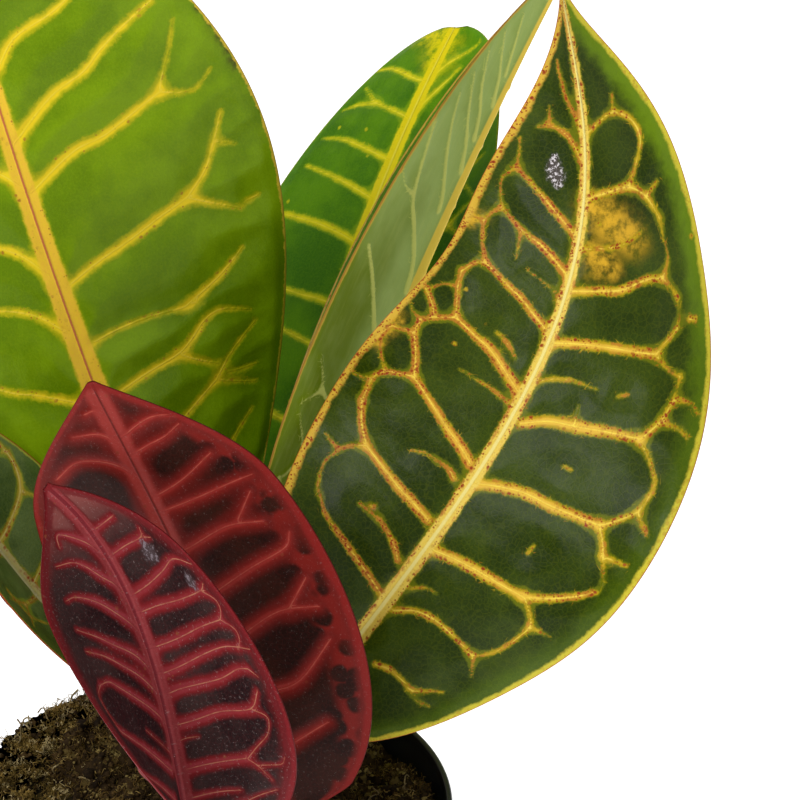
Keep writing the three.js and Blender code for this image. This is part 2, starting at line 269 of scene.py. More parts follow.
def new_finish(name: str) -> tuple[bpy.types.Material, Bench, bpy.types.Node]:
    """An empty material.

    Args:
        name: its name.

    Returns:
        The material, its bench, and its Principled shader.
    """
    material = bpy.data.materials.new(name)
    material.use_nodes = True
    material.node_tree.nodes.clear()
    bench = Bench(material.node_tree)
    shader = bench.node("ShaderNodeBsdfPrincipled")
    bench.node("ShaderNodeOutputMaterial", {}, {"Surface": shader.outputs[0]})
    return material, bench, shader


# ---- Meshes ----


def mesh_volume(mesh: bpy.types.Mesh) -> float:
    """Six times the signed volume of a closed mesh: below zero where its faces point inwards."""
    mesh.calc_loop_triangles()
    corners = np.zeros(len(mesh.loop_triangles) * 3, np.int32)
    mesh.loop_triangles.foreach_get("vertices", corners)
    places = np.zeros(len(mesh.vertices) * 3, np.float32)
    mesh.vertices.foreach_get("co", places)
    places = places.reshape(-1, 3).astype(float)
    a, b, c = (places[corners.reshape(-1, 3)[:, k]] for k in range(3))
    return float(np.einsum("ij,ij->i", a, np.cross(b, c)).sum())


def put_piece(
    name: str,
    mesh: bpy.types.Mesh,
    material: bpy.types.Material | None = None,
    replaces: Iterable[str] = (),
) -> bpy.types.Object:
    """Makes a finished piece of a mesh, riding on the one body.

    Args:
        name: the piece's name.
        mesh: its mesh, in metres and in place.
        material: its finish, where the mesh has none yet.
        replaces: CAD nodes that it stands for.

    Returns:
        The object.
    """
    if material is not None:
        mesh.materials.clear()
        mesh.materials.append(material)
    mesh.polygons.foreach_set("use_smooth", [True] * len(mesh.polygons))
    piece = bpy.data.objects.new(name, mesh)
    bpy.context.scene.collection.objects.link(piece)
    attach(piece, BODY)
    for node in replaces:
        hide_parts(node)
    LOG.info("%s: %d faces", name, len(mesh.polygons))
    return piece


def make_mesh(name: str, places: np.ndarray, faces: np.ndarray | list) -> bpy.types.Mesh:
    """A mesh of points in millimetres, its faces turned outwards if it is closed."""
    mesh = bpy.data.meshes.new(name)
    mesh.from_pydata((places * MM).tolist(), [], faces if isinstance(faces, list) else faces.tolist())
    mesh.update()
    if mesh_volume(mesh) < 0:
        mesh.flip_normals()
    return mesh


def ring_faces(count: int, around: int) -> np.ndarray:
    """Four-sided faces between rings of points that follow each other."""
    grid = np.arange(count * around).reshape(count, around)
    nearer, farther = grid[:-1], grid[1:]
    return np.stack([nearer, np.roll(nearer, -1, 1), np.roll(farther, -1, 1), farther], -1).reshape(-1, 4)


def close_rows(rows: np.ndarray) -> tuple[np.ndarray, list]:
    """Joins rows of points, each row a ring, into a closed skin with a point in the middle of each end.

    Args:
        rows: points as rows, around, and coordinates.

    Returns:
        The points and the faces.
    """
    count, around = rows.shape[:2]
    faces = ring_faces(count, around).tolist()
    first, last = count * around, count * around + 1
    end_ring = first - around
    for k in range(around):
        n = (k + 1) % around
        faces.append([first, n, k])
        faces.append([last, end_ring + k, end_ring + n])
    return np.vstack([rows.reshape(-1, 3), rows[0].mean(0), rows[-1].mean(0)]), faces


def store(mesh: bpy.types.Mesh, name: str, values: np.ndarray) -> None:
    """Stores a number or a vector on every point of a mesh."""
    if values.ndim == 1:
        mesh.attributes.new(name, "FLOAT", "POINT").data.foreach_set("value", values.astype(np.float32))
    else:
        made = mesh.attributes.new(name, "FLOAT_VECTOR", "POINT")
        made.data.foreach_set("vector", values.astype(np.float32).ravel())


class GrownMesh:
    """A mesh grown by a Geometry Nodes tree, which is built here and gone once the mesh is plain."""

    def __init__(self, name: str, sizes: Mapping[str, float | int]) -> None:
        """Starts the tree.

        Args:
            name: the tree's name.
            sizes: its named inputs and their values; whole numbers make whole-number inputs.
        """
        self.name = name
        self.sizes = dict(sizes)
        self.tree = bpy.data.node_groups.new(name, "GeometryNodeTree")
        self.tree.interface.new_socket("Base", in_out="INPUT", socket_type="NodeSocketGeometry")
        for key, value in self.sizes.items():
            kind = "NodeSocketInt" if isinstance(value, int) else "NodeSocketFloat"
            self.tree.interface.new_socket(key, in_out="INPUT", socket_type=kind)
        self.tree.interface.new_socket("Grown", in_out="OUTPUT", socket_type="NodeSocketGeometry")
        self.bench = Bench(self.tree)
        self.entry = self.bench.node("NodeGroupInput")

    def size(self, key: str) -> Wire:
        """A wire from a named input."""
        return self.bench.wire(self.entry, key)

    @property
    def base(self) -> bpy.types.NodeSocket:
        """The geometry that the modifier starts from."""
        return self.entry.outputs["Base"]

    def finish(self, geometry: bpy.types.NodeSocket, material: bpy.types.Material,
               base: bpy.types.Mesh) -> bpy.types.Mesh:
        """Ends the tree in Realize Instances and Set Material, and evaluates it.

        Args:
            geometry: what the tree has made.
            material: the finish of the grown mesh.
            base: the mesh that the modifier sits on.

        Returns:
            The grown mesh, plain and in metres.
        """
        real = self.bench.node("GeometryNodeRealizeInstances", {}, {0: geometry})
        dressed = self.bench.node("GeometryNodeSetMaterial", {}, {0: real.outputs[0], "Material": material})
        self.bench.node("NodeGroupOutput", {}, {0: dressed.outputs[0]})
        holder = bpy.data.objects.new(self.name + "_holder", base)
        bpy.context.scene.collection.objects.link(holder)
        modifier = holder.modifiers.new(self.name, "NODES")
        modifier.node_group = self.tree
        for item in self.tree.interface.items_tree:
            if item.in_out == "INPUT" and item.name in self.sizes:
                modifier[item.identifier] = self.sizes[item.name]
        holder.update_tag()
        bpy.context.view_layer.update()
        evaluated = holder.evaluated_get(bpy.context.evaluated_depsgraph_get())
        grown = bpy.data.meshes.new_from_object(evaluated)
        grown.name = self.name
        bpy.data.objects.remove(holder)
        bpy.data.node_groups.remove(self.tree)
        return grown


# ---- Picture ----


@dataclass(frozen=True)
class PhotoView:
    """The photograph's camera: what it looks at, from how far and how high (millimetres and degrees)."""

    target: tuple[float, float, float] = (40.0, 0.0, 204.0)
    distance: float = 650.0
    elevation: float = 29.0
    lens: float = 132.95
    sensor: float = 36.0
    picture: int = 800

    def axes(self) -> tuple[np.ndarray, np.ndarray, np.ndarray]:
        """Unit vectors to the picture's right, to its top, and back from the target to the camera."""
        tilt = math.radians(self.elevation)
        back = np.array([0.0, -math.cos(tilt), math.sin(tilt)])
        right = np.array([1.0, 0.0, 0.0])
        return right, np.cross(back, right), back

    def picture_of(self, places: np.ndarray) -> np.ndarray:
        """Where points in millimetres lie on the picture, in pixels from its top left."""
        right, top, back = self.axes()
        seen = places - np.array(self.target)
        depth = self.distance - seen @ back
        scale = self.lens / self.sensor * self.picture / depth
        middle = self.picture / 2
        return np.stack([middle + seen @ right * scale, middle - seen @ top * scale], -1)


# ---- Leaf shape ----


@dataclass(frozen=True)
class Ripple:
    """Waves along a blade's margins: height in millimetres, waves in its length, phase in degrees."""

    height: float
    waves: float
    phase: float


def smooth_line(knots: np.ndarray, steps: int) -> np.ndarray:
    """A curve through points, with so many steps between each two."""
    ends = np.vstack([2 * knots[0] - knots[1], knots, 2 * knots[-1] - knots[-2]])
    s = np.linspace(0, 1, steps, endpoint=False)[:, None]
    parts = []
    for p0, p1, p2, p3 in zip(ends, ends[1:], ends[2:], ends[3:]):
        parts.append(0.5 * (2 * p1 + (p2 - p0) * s + (2 * p0 - 5 * p1 + 4 * p2 - p3) * s ** 2
                            + (3 * p1 - p0 - 3 * p2 + p3) * s ** 3))
    return np.vstack(parts + [knots[-1:]])


@dataclass(frozen=True)
class StemForm:
    """A stem's centre line in millimetres and its radius at foot and tip."""

    points: tuple[tuple[float, float, float], ...]
    foot: float
    tip: float
    scars: int

    def centre(self, shares: np.ndarray) -> np.ndarray:
        """Points of a smooth line through the stem's points, at shares of its length."""
        fine = smooth_line(np.array(self.points, float), 20)
        reach = np.concatenate([[0], np.cumsum(np.linalg.norm(np.diff(fine, axis=0), axis=1))])
        return np.stack([np.interp(shares * reach[-1], reach, fine[:, k]) for k in range(3)], 1)

    def at_height(self, z: float) -> tuple[np.ndarray, float]:
        """Centre and radius at a height."""
        shares = np.linspace(0, 1, 400)
        line = self.centre(shares)
        k = int(np.argmin(abs(line[:, 2] - z)))
        return line[k], self.foot + (self.tip - self.foot) * float(shares[k]) ** 1.6


@dataclass(frozen=True)
class LeafForm:
    """A leaf's place, heading and width, with the same values as its solid (millimetres, degrees)."""

    stem: StemForm
    node: float
    base: tuple[float, float, float]
    length: float
    azimuth: tuple[float, float]
    rise: tuple[float, float]
    roll: tuple[float, float]
    bend: float
    half: tuple[float, float]
    widest: float
    fullness: float
    fold: tuple[float, float, float, float]
    curl: tuple[float, float]
    drawn_tip: float = 0.0
    ripple: Ripple | None = None
    petiole_radius: float = 1.7
    foot_radius: float = 2.3
    first_station: float = 0.045

    def heading(self, t: np.ndarray) -> tuple[np.ndarray, np.ndarray, np.ndarray]:
        """The leaf's forward, left and upward unit vectors at shares t of its length."""
        turned = np.maximum(t, 1e-6) ** self.bend
        azimuth = np.radians(self.azimuth[0] + (self.azimuth[1] - self.azimuth[0]) * turned)
        rise = np.radians(self.rise[0] + (self.rise[1] - self.rise[0]) * turned)
        roll = np.radians(self.roll[0] + (self.roll[1] - self.roll[0]) * t)[:, None]
        forward = np.stack([np.cos(rise) * np.cos(azimuth), np.cos(rise) * np.sin(azimuth), np.sin(rise)], 1)
        level = np.stack([-np.sin(azimuth), np.cos(azimuth), 0 * azimuth], 1)
        square = np.cross(forward, level)
        left = level * np.cos(roll) + square * np.sin(roll)
        upward = square * np.cos(roll) - level * np.sin(roll)
        return forward, left, upward

    def rib(self, t: np.ndarray) -> np.ndarray:
        """Points of the midrib at shares t."""
        steps = 80
        forward = self.heading((np.arange(steps) + 0.5) / steps)[0] * (self.length / steps)
        line = np.vstack([np.zeros(3), np.cumsum(forward, 0)]) + np.array(self.base)
        knots = np.linspace(0, 1, steps + 1)
        return np.stack([np.interp(t, knots, line[:, k]) for k in range(3)], 1)

    def outline(self, t: np.ndarray) -> np.ndarray:
        """Half width at shares t, as a share of the widest."""
        falling = self.fullness * (1 - self.widest) / self.widest
        narrowed = np.clip((t - 0.72) / 0.28, 0, 1)
        t = np.clip(t, 1e-6, 1 - 1e-6)
        body = (t / self.widest) ** self.fullness * ((1 - t) / (1 - self.widest)) ** falling
        return body * (1 - self.drawn_tip * narrowed ** 2)

    def width(self, t: np.ndarray, v: np.ndarray) -> np.ndarray:
        """Half width in millimetres at t, on the side that v is on (left above zero)."""
        return np.where(v >= 0, self.half[0], self.half[1]) * self.outline(t)

    def surface(self, t: np.ndarray, v: np.ndarray) -> tuple[np.ndarray, np.ndarray]:
        """The blade's upper face.

        Args:
            t: shares of the length.
            v: shares of the half width, from 1 at the left margin to -1 at the right one.

        Returns:
            A grid of points, and the unit vector out of the face at each.
        """
        _, left, upward = self.heading(t)
        column, row = t[:, None], v[None, :]
        on_left = row >= 0
        side = np.where(on_left, 1.0, -1.0)
        share = abs(row)
        start = np.where(on_left, self.fold[0] + (self.fold[1] - self.fold[0]) * column,
                         self.fold[2] + (self.fold[3] - self.fold[2]) * column)
        fold = np.radians(start)
        curl = np.radians(np.where(on_left, self.curl[0], self.curl[1]) + 1e-3)
        width = self.width(column, row)
        out = width / curl * (np.sin(fold + curl * share) - np.sin(fold))
        lift = width / curl * (np.cos(fold) - np.cos(fold + curl * share))
        if self.ripple:
            lag = np.where(on_left, 0.0, 1.3)
            wave = np.sin(2 * math.pi * self.ripple.waves * column + math.radians(self.ripple.phase) + lag)
            lift = lift + self.ripple.height * wave * share ** 2 * self.outline(column)
        tilt = fold + curl * share
        place = (self.rib(t)[:, None] + left[:, None] * (side * out)[..., None]
                 + upward[:, None] * lift[..., None])
        facing = (upward[:, None] * np.cos(tilt)[..., None]
                  - left[:, None] * (side * np.sin(tilt))[..., None])
        return place, facing


# ---- Veins ----


class Side(Enum):
    """The side of a blade, seen from its foot with the upper face up."""

    LEFT = 1
    RIGHT = -1


@dataclass(frozen=True)
class Trace:
    """A line seen in the photograph: picture points from its root on, and half widths in millimetres."""

    points: tuple[tuple[int, int], ...]
    widths: tuple[float, ...]


def vein(*points: tuple[int, int], w: tuple[float, ...]) -> Trace:
    """A trace through picture points, with half widths w along it."""
    return Trace(points, w)


@dataclass(frozen=True)
class Traces:
    """The traces on the two halves of a blade."""

    left: tuple[Trace, ...] = ()
    right: tuple[Trace, ...] = ()


@dataclass(frozen=True)
class VeinPlan:
    """A blade's side veins: traced ones, and ruled ones that start at shares of the length, lean and fork."""

    traces: Traces = Traces()
    stains: Traces = Traces()
    blooms: Traces = Traces()
    ruled_left: tuple[float, ...] = ()
    ruled_right: tuple[float, ...] = ()
    lean: float = 0.04
    gap: float = 0.075
    root_width: float = 1.0
    rib_width: tuple[float, float] = (1.5, 0.7)
    web: float = 0.45
    patch_web: float = 1.0
    patch_margin: float = 0.0
    swell: float = 1.0
    seed: int = 1

    def _ruled(self, form: LeafForm) -> list[tuple[np.ndarray, np.ndarray]]:
        """The ruled veins, each with its fork.

        Args:
            form: the leaf's shape.

        Returns:
            Each vein's line on the flattened blade, and its half width along it.
        """
        made = []
        chance = np.random.RandomState(self.seed)
        for side, starts in ((Side.LEFT, self.ruled_left), (Side.RIGHT, self.ruled_right)):
            for start in starts:
                fork = 0.56 + 0.14 * chance.rand()
                at = start + self.lean * (0.8 + 0.4 * chance.rand())
                ahead = at + self.gap * (0.45 + 0.3 * chance.rand())
                behind = at - self.gap * (0.15 + 0.3 * chance.rand())
                root = self.root_width
                made.append((side, ((start, 0.0), (start + 0.45 * self.lean, 0.5 * fork), (at, fork)),
                             (root, 0.9 * root, 0.6 * root)))
                made.append((side, ((at, fork), (0.5 * (at + ahead), 0.5 * (fork + 0.8)), (ahead, 0.84)),
                             (0.55 * root, 0.2 * root)))
                if chance.rand() < 0.75:
                    made.append((side, ((at, fork), (behind, 0.5 * (fork + 0.88)), (behind - 0.01, 0.86)),
                                 (0.5 * root, 0.12 * root)))
        return [self._flatten(form, side, np.array(path), widths) for side, path, widths in made]

    def _traced(self, traces: Traces, form: LeafForm, view: PhotoView) -> list[tuple[np.ndarray, np.ndarray]]:
        """Carries traces from the picture onto the blade.

        Args:
            traces: what the picture shows.
            form: the leaf's shape.
            view: the photograph's camera.

        Returns:
            Each trace's line on the flattened blade, and its half width along it.
        """
        made = []
        t = np.linspace(0.01, 0.99, 491)
        for side, half in ((Side.LEFT, traces.left), (Side.RIGHT, traces.right)):
            v = side.value * np.linspace(0, 1, 101)
            seen = view.picture_of(form.surface(t, v if side is Side.LEFT else v - 1e-9)[0])
            for trace in half:
                path = []
                for point in trace.points:
                    away = ((seen - np.array(point)) ** 2).sum(-1)
                    row, column = np.unravel_index(int(np.argmin(away)), away.shape)
                    path.append((t[row], abs(v[column])))
                made.append(self._flatten(form, side, np.array(path), trace.widths))
        return made

    def _flatten(self, form: LeafForm, side: Side, path: np.ndarray,
                 widths: tuple[float, ...]) -> tuple[np.ndarray, np.ndarray]:
        """A vein's smooth line on the flattened blade in millimetres, and its half width along it."""
        t = path[:, 0]
        y = side.value * path[:, 1] * form.width(t, np.full_like(t, side.value))
        line = smooth_line(np.stack([t * form.length, y], 1), 5)
        shares = np.linspace(0, 1, len(line))
        return line, np.interp(shares, np.linspace(0, 1, len(widths)), widths) * self.swell

    def fields(self, form: LeafForm, view: PhotoView, x: np.ndarray, y: np.ndarray, rib: np.ndarray,
               edge: np.ndarray) -> dict[str, np.ndarray]:
        """How far points of the flattened blade lie from the veins.

        Args:
            form: the leaf's shape.
            view: the photograph's camera, for the traced veins.
            x: millimetres along the blade.
            y: millimetres across it.
            rib: distance from the midrib's edge.
            edge: distance from the margin.

        Returns:
            band, the distance to the edge of the web of veins (below zero inside it); core, that to the
            nearest vein's middle; thread, the same with a sign for the vein's side; patch, that to the
            rounded edge of the patch between the veins; stain and bloom, how stained or dusty a point is.
        """
        web = np.exp(-rib / self.web)
        patch = np.exp(-rib / self.patch_web)
        if self.patch_margin:
            patch = patch + np.exp(-(edge - self.patch_margin) / self.patch_web)
        core = np.full(x.shape, 99.0)
        hand = np.ones(x.shape)
        for line, widths in self._traced(self.traces, form, view) + self._ruled(form):
            near = np.full(x.shape, 60.0)
            for a, b, w0, w1 in zip(line, line[1:], widths, widths[1:]):
                along = b - a
                right, ahead = x - a[0], y - a[1]
                share = np.clip((right * along[0] + ahead * along[1]) / max(float(along @ along), 1e-9), 0, 1)
                gone = np.hypot(right - share * along[0], ahead - share * along[1])
                hand = np.where(gone < core, np.sign(along[0] * ahead - along[1] * right), hand)
                core = np.minimum(core, gone)
                near = np.minimum(near, gone - (w0 + (w1 - w0) * share))
            web += np.exp(-near / self.web)
            patch += np.exp(-near / self.patch_web)
        return {"band": -self.web * np.log(web), "core": core, "thread": core * hand,
                "patch": -self.patch_web * np.log(patch), "stain": self._marks(self.stains, form, view, x, y),
                "bloom": self._marks(self.blooms, form, view, x, y)}

    def _marks(self, traces: Traces, form: LeafForm, view: PhotoView, x: np.ndarray,
               y: np.ndarray) -> np.ndarray:
        """How strongly soft marks along traces show at points of the flattened blade."""
        mark = np.zeros(x.shape)
        for line, widths in self._traced(traces, form, view):
            for spot, width in zip(line, widths):
                mark = np.maximum(mark, np.exp(-((x - spot[0]) ** 2 + (y - spot[1]) ** 2) / width ** 2))
        return mark


# ---- Leaf finish ----


@dataclass(frozen=True)
class LeafFinish:
    """Colours and surface of a croton leaf. Widths are in millimetres."""

    name: str
    lamina: Code
    lamina_light: Code
    halo: Code
    band: Code
    band_edge: Code
    core: Code
    rib: Code
    rib_line: Code
    margin: Code
    rim: Code
    speck: Code
    under: Code = "6f8444"
    # Painted sheen colour of the underside near the keel and towards the tip.
    under_sheen: Code = "6f8444"
    under_vein: Code = "b8b464"
    glow: Code = "4c7a10"
    glow_width: float = 4.0
    glow_shares: tuple[float, float] = (0.3, 0.3)
    glow_from: float = 0.0
    # Band colour, full on the left half and in patches elsewhere: on the charcoal-rose leaf it is a painted
    # sheen on the half that faces the light; on the dark green leaf it is the bands' own orange.
    flush_and_sheen: Code | None = None
    stain: Code | None = None
    bloom: Code | None = None
    tip: Code | None = None
    tip_from: float = 0.8
    margin_right: Code | None = None
    bruise: Code = "54484a"
    lint: Code = "b9a9a4"
    halo_width: float = 0.8
    ragged: float = 0.4
    soft: float = 0.2
    hairs: float = 1.2
    core_width: float = 0.16
    core_share: float = 0.7
    core_depth: float = -0.3
    rib_line_width: float = 0.4
    margin_widths: tuple[float, float] = (0.7, 0.7)
    rim_width: float = 0.3
    specks: float = 0.5
    rust: float = 0.0
    spots: float = 0.2
    network: float = 0.0
    dust: float = 0.0
    roughness: float = 0.4
    shine: float = 0.12
    veinlet: float = 0.25
    pores: float = 0.3
    pore_shade: float = 0.45

    def _pattern(self, bench: Bench, flat: bpy.types.NodeSocket) -> dict[str, Wire]:
        """The masks of the pattern; noise scales are per millimetre of the flattened leaf.

        Args:
            bench: the material's tree.
            flat: the place on the flattened leaf.

        Returns:
            The masks by name, each from 0 to 1.
        """
        band, rib, core, edge, across, along = (
            bench.attribute(name) for name in ("band", "rib", "core", "edge", "across", "along"))
        wobble = (bench.grain(flat, 0.35, 2, 0.5) - 0.5) * (1.6 * self.ragged)
        fray = (bench.grain(flat, 1.3, 3, 0.65) - 0.5) * (1.8 * self.ragged)
        slow = (bench.grain(flat, 0.12, 2) - 0.5) * 2
        rough_cloud = bench.grain(flat, 0.3, 4, 0.65)
        sparse = bench.grain(flat, 0.45, 2).rise(0.5, 0.62)
        hairs = bench.walls(flat, 0.42).fall(0.01, 0.05) * (band + fray).fall(0.1, self.hairs) * sparse
        swirl = bench.node("ShaderNodeTexNoise", {}, {"Vector": flat, "Scale": 0.3, "Detail": 1.0})
        blot, _ = bench.cells(bench.shift(flat, swirl.outputs["Color"]), 0.2)
        outer = abs(across).rise(0.66, 0.8) * across.fall(-0.1, 0.0)
        net = (blot + fray * 0.1 + slow * 0.06).rise(0.38, 0.6) * outer * self.network
        spot, chance = bench.cells(flat, 0.13)
        spots = (spot + fray * 0.12).fall(0.03, 0.11) * chance.above(1 - self.spots)
        flecks = None
        for scale in (1.5, 0.75):
            fleck, luck = bench.cells(flat, scale)
            spread = (fleck + fray * 0.4).fall(0.2, 0.46) * luck.above(1 - self.specks)
            flecks = spread if flecks is None else flecks.most(spread)
        on_left = across.rise(-0.05, 0.15)
        verge = band.rise(-1.1, -0.3)
        rusty = (bench.grain(flat, 0.1, 2) + on_left * 0.06).rise(0.38, 0.54) * (0.2 + 0.8 * verge)
        rust_cloud = (rough_cloud + on_left * 0.1).rise(0.5, 0.62) * self.rust
        vein = (band + fray + wobble).fall(-self.soft, self.soft)
        width = on_left * self.margin_widths[0] + (1 - on_left) * self.margin_widths[1]
        glow = on_left * self.glow_shares[0] + (1 - on_left) * self.glow_shares[1]
        if self.glow_from:
            glow = glow * (0.3 + 0.7 * along.rise(self.glow_from - 0.15, self.glow_from + 0.15))
        glow_edge = edge + slow * 2 + (rough_cloud - 0.5) * 5
        thread = abs(bench.attribute("thread")) + fray * 0.1
        thread = thread.fall(0.4 * self.core_width, self.core_width + 0.08)
        inside = core.fall(0.4, 0.9) * band.fall(self.core_depth - 0.15, self.core_depth)
        stain_cloud = 0.24 + bench.grain(flat, 0.33, 4, 0.65).rise(0.32, 0.66) * 0.7
        bloom_cloud = bench.grain(flat, 1.1, 3, 0.7).rise(0.47, 0.6)
        return {
            "vein": vein.most(hairs * 0.85).most(spots),
            "net": net,
            "deep": (band + wobble).fall(-0.9, -0.15),
            "verge": verge,
            "left": on_left,
            "rib": (rib + fray * 0.5 + wobble * 0.6).fall(-self.soft, self.soft),
            "halo": (bench.attribute("patch") + fray * 0.8 + wobble).fall(0.0, self.halo_width),
            "core": thread * inside * (self.core_share * (0.4 + 0.6 * rough_cloud.rise(0.38, 0.58))),
            "line": (abs(bench.attribute("middle")) + fray * 0.2).fall(
                0.5 * self.rib_line_width, self.rib_line_width + 0.12),
            "specks": flecks * rusty,
            "rust": abs(band + fray + 0.25).fall(0.1, 0.5) * rust_cloud,
            "margin": ((edge + fray * 0.8 + wobble) / (width * (1 + slow * 0.5))).fall(0.6, 1.25),
            "rim": (edge + fray * 0.3).fall(0.5 * self.rim_width, self.rim_width),
            "glow": glow_edge.fall(0.25 * self.glow_width, self.glow_width) * glow,
            "cloud": bench.grain(flat, 0.06, 3, 0.6).rise(0.35, 0.65),
            "fine": bench.grain(flat, 1.6, 3, 0.7).rise(0.35, 0.7),
            "stain": (bench.attribute("stain") * stain_cloud).rise(0.0, 1.0),
            "bloom": (bench.attribute("bloom") * bloom_cloud).rise(0.12, 0.7),
        }

    def _upper(self, bench: Bench, flat: bpy.types.NodeSocket, mask: dict[str, Wire]) -> bpy.types.NodeSocket:
        """The upper face's colour, from the lamina to the dust on it.

        Args:
            bench: the material's tree.
            flat: the place on the flattened leaf.
            mask: the masks of the pattern.

        Returns:
            The colour.
        """
        pore, luck = bench.cells(flat, 1.9)
        colour = bench.blend(mask["cloud"] * 0.7 + mask["fine"] * 0.3, self.lamina, self.lamina_light)
        colour = bench.blend(bench.walls(flat, 0.8).fall(0.0, 0.1) * self.veinlet, colour, self.halo)
        dark = pore.fall(0.1, 0.3) * luck.above(0.55) * self.pores
        colour = bench.blend(dark, colour, tint(self.lamina, self.pore_shade))
        colour = bench.blend(mask["glow"], colour, self.glow)
        if self.tip:
            colour = bench.blend(bench.attribute("along").rise(self.tip_from, 1.0), colour, self.tip)
        if self.network:
            colour = bench.blend(mask["net"], colour, self.band_edge)
        colour = bench.blend(mask["halo"] * 0.85, colour, self.halo)
        if self.stain:
            colour = bench.blend(mask["stain"] * 0.9, colour, self.stain)
        main = self.band
        # Partly painted sheen: the flushed band colour lightens the charcoal-rose leaf's left half, which
        # faces the light; on the dark green leaf it is the bands' own orange.
        if self.flush_and_sheen:
            flush_and_sheen_share = (mask["left"] + mask["cloud"] * 0.6).least(1.0) * mask["verge"].most(0.4)
            main = bench.blend(flush_and_sheen_share, main, self.flush_and_sheen)
        filling = bench.blend(mask["deep"], self.band_edge, main)
        filling = bench.blend(mask["core"], filling, self.core)
        colour = bench.blend(mask["vein"], colour, filling)
        colour = bench.blend(mask["rib"], colour, bench.blend(mask["fine"] * 0.5, self.rib, self.band))
        if self.rust:
            colour = bench.blend(mask["rust"] * 0.8, colour, self.rim)
        colour = bench.blend(mask["specks"] * mask["vein"], colour, self.speck)
        colour = bench.blend(mask["line"], colour, self.rib_line)
        verge = bench.blend(mask["left"], self.margin_right or self.margin, self.margin)
        colour = bench.blend(mask["margin"], colour, verge)
        colour = bench.blend(mask["specks"] * mask["margin"] * mask["left"].most(0.3), colour, self.speck)
        colour = bench.blend(mask["rim"], colour, self.rim)
        if self.dust:
            motes, luck = bench.cells(flat, 1.7)
            lint = motes.fall(0.04, 0.14) * luck.above(0.8) * self.dust
            lint = lint.most(bench.grain(flat, 1.1, 5, 0.8).rise(0.56, 0.72) * 0.45 * self.dust)
            colour = bench.blend(lint, colour, self.lint)
        if self.bloom:
            colour = bench.blend(bench.attribute("bloom").rise(0.1, 0.9) * 0.7, colour, self.bruise)
            colour = bench.blend(mask["bloom"], colour, self.bloom)
        return colour

    def _lower(self, bench: Bench, flat: bpy.types.NodeSocket, mask: dict[str, Wire]) -> bpy.types.NodeSocket:
        """The underside's colour: paler, with thin raised veins, and a paler grey-green painted sheen near
        the keel and towards the tip.
        """
        # Painted sheen: grey-green near the keel and towards the tip; only the outer, lower part keeps the
        # olive underside colour.
        outer = abs(bench.attribute("across")).rise(0.25, 0.6) * bench.attribute("along").fall(0.4, 0.75)
        colour = bench.blend(outer + (mask["cloud"] - 0.5) * 0.3, self.under_sheen, self.under)
        drawn = bench.shift(flat, (0.25, 1.6, 1.0), "MULTIPLY")
        streaks = bench.grain(drawn, 0.35, 3, 0.6).rise(0.45, 0.75)
        colour = bench.blend(streaks * 0.12, colour, self.under_vein)
        colour = bench.blend(mask["vein"] * 0.95, colour, self.under_vein)
        colour = bench.blend(bench.attribute("rib").fall(-0.1, 0.3), colour, self.rib)
        colour = bench.blend(mask["margin"] * 0.9, colour, self.margin)
        return bench.blend(mask["rim"], colour, self.rim)

    def _relief(self, bench: Bench, flat: bpy.types.NodeSocket) -> Wire:
        """Height of the surface in millimetres: sunken veins, netted lamina, fine grain."""
        core, middle = bench.attribute("core"), abs(bench.attribute("middle"))
        crease = abs(bench.attribute("thread")).fall(0.0, 0.35) * core.fall(0.4, 0.9)
        upward = bench.attribute("face") * 2 - 1
        folds = core.rise(0.0, 1.3) * 0.1 + crease * 0.06 + bench.walls(flat, 0.8).rise(0.0, 0.2) * 0.012
        fine = bench.grain(flat, 4.0, 3, 0.6) * 0.01 + bench.grain(flat, 0.8, 2) * 0.04
        return folds * upward + fine + middle.fall(0.15, 0.6) * 0.14 + bench.grain(flat, 0.1, 2) * 0.6

    def make(self) -> bpy.types.Material:
        """The leaf's material, which reads the attributes that the blade's mesh carries."""
        material, bench, shader = new_finish(self.name)
        flat = bench.place("flat")
        face = bench.attribute("face")
        mask = self._pattern(bench, flat)
        colour = bench.blend(face, self._lower(bench, flat, mask), self._upper(bench, flat, mask))
        rough = mask["fine"] * 0.1 + mask["vein"] * 0.05 + (1 - face) * 0.15 + (self.roughness - 0.05)
        bench.dress(shader, colour, rough, self._relief(bench, flat), 1.0, self.shine)
        return material


# What each field says on a petiole.
ON_PETIOLE = {
    "band": 9.0, "core": 9.0, "thread": 9.0, "patch": 9.0, "stain": 0.0, "bloom": 0.0,
    "rib": -1.0, "middle": 2.5, "edge": 20.0, "along": 0.0, "across": 0.0,
}


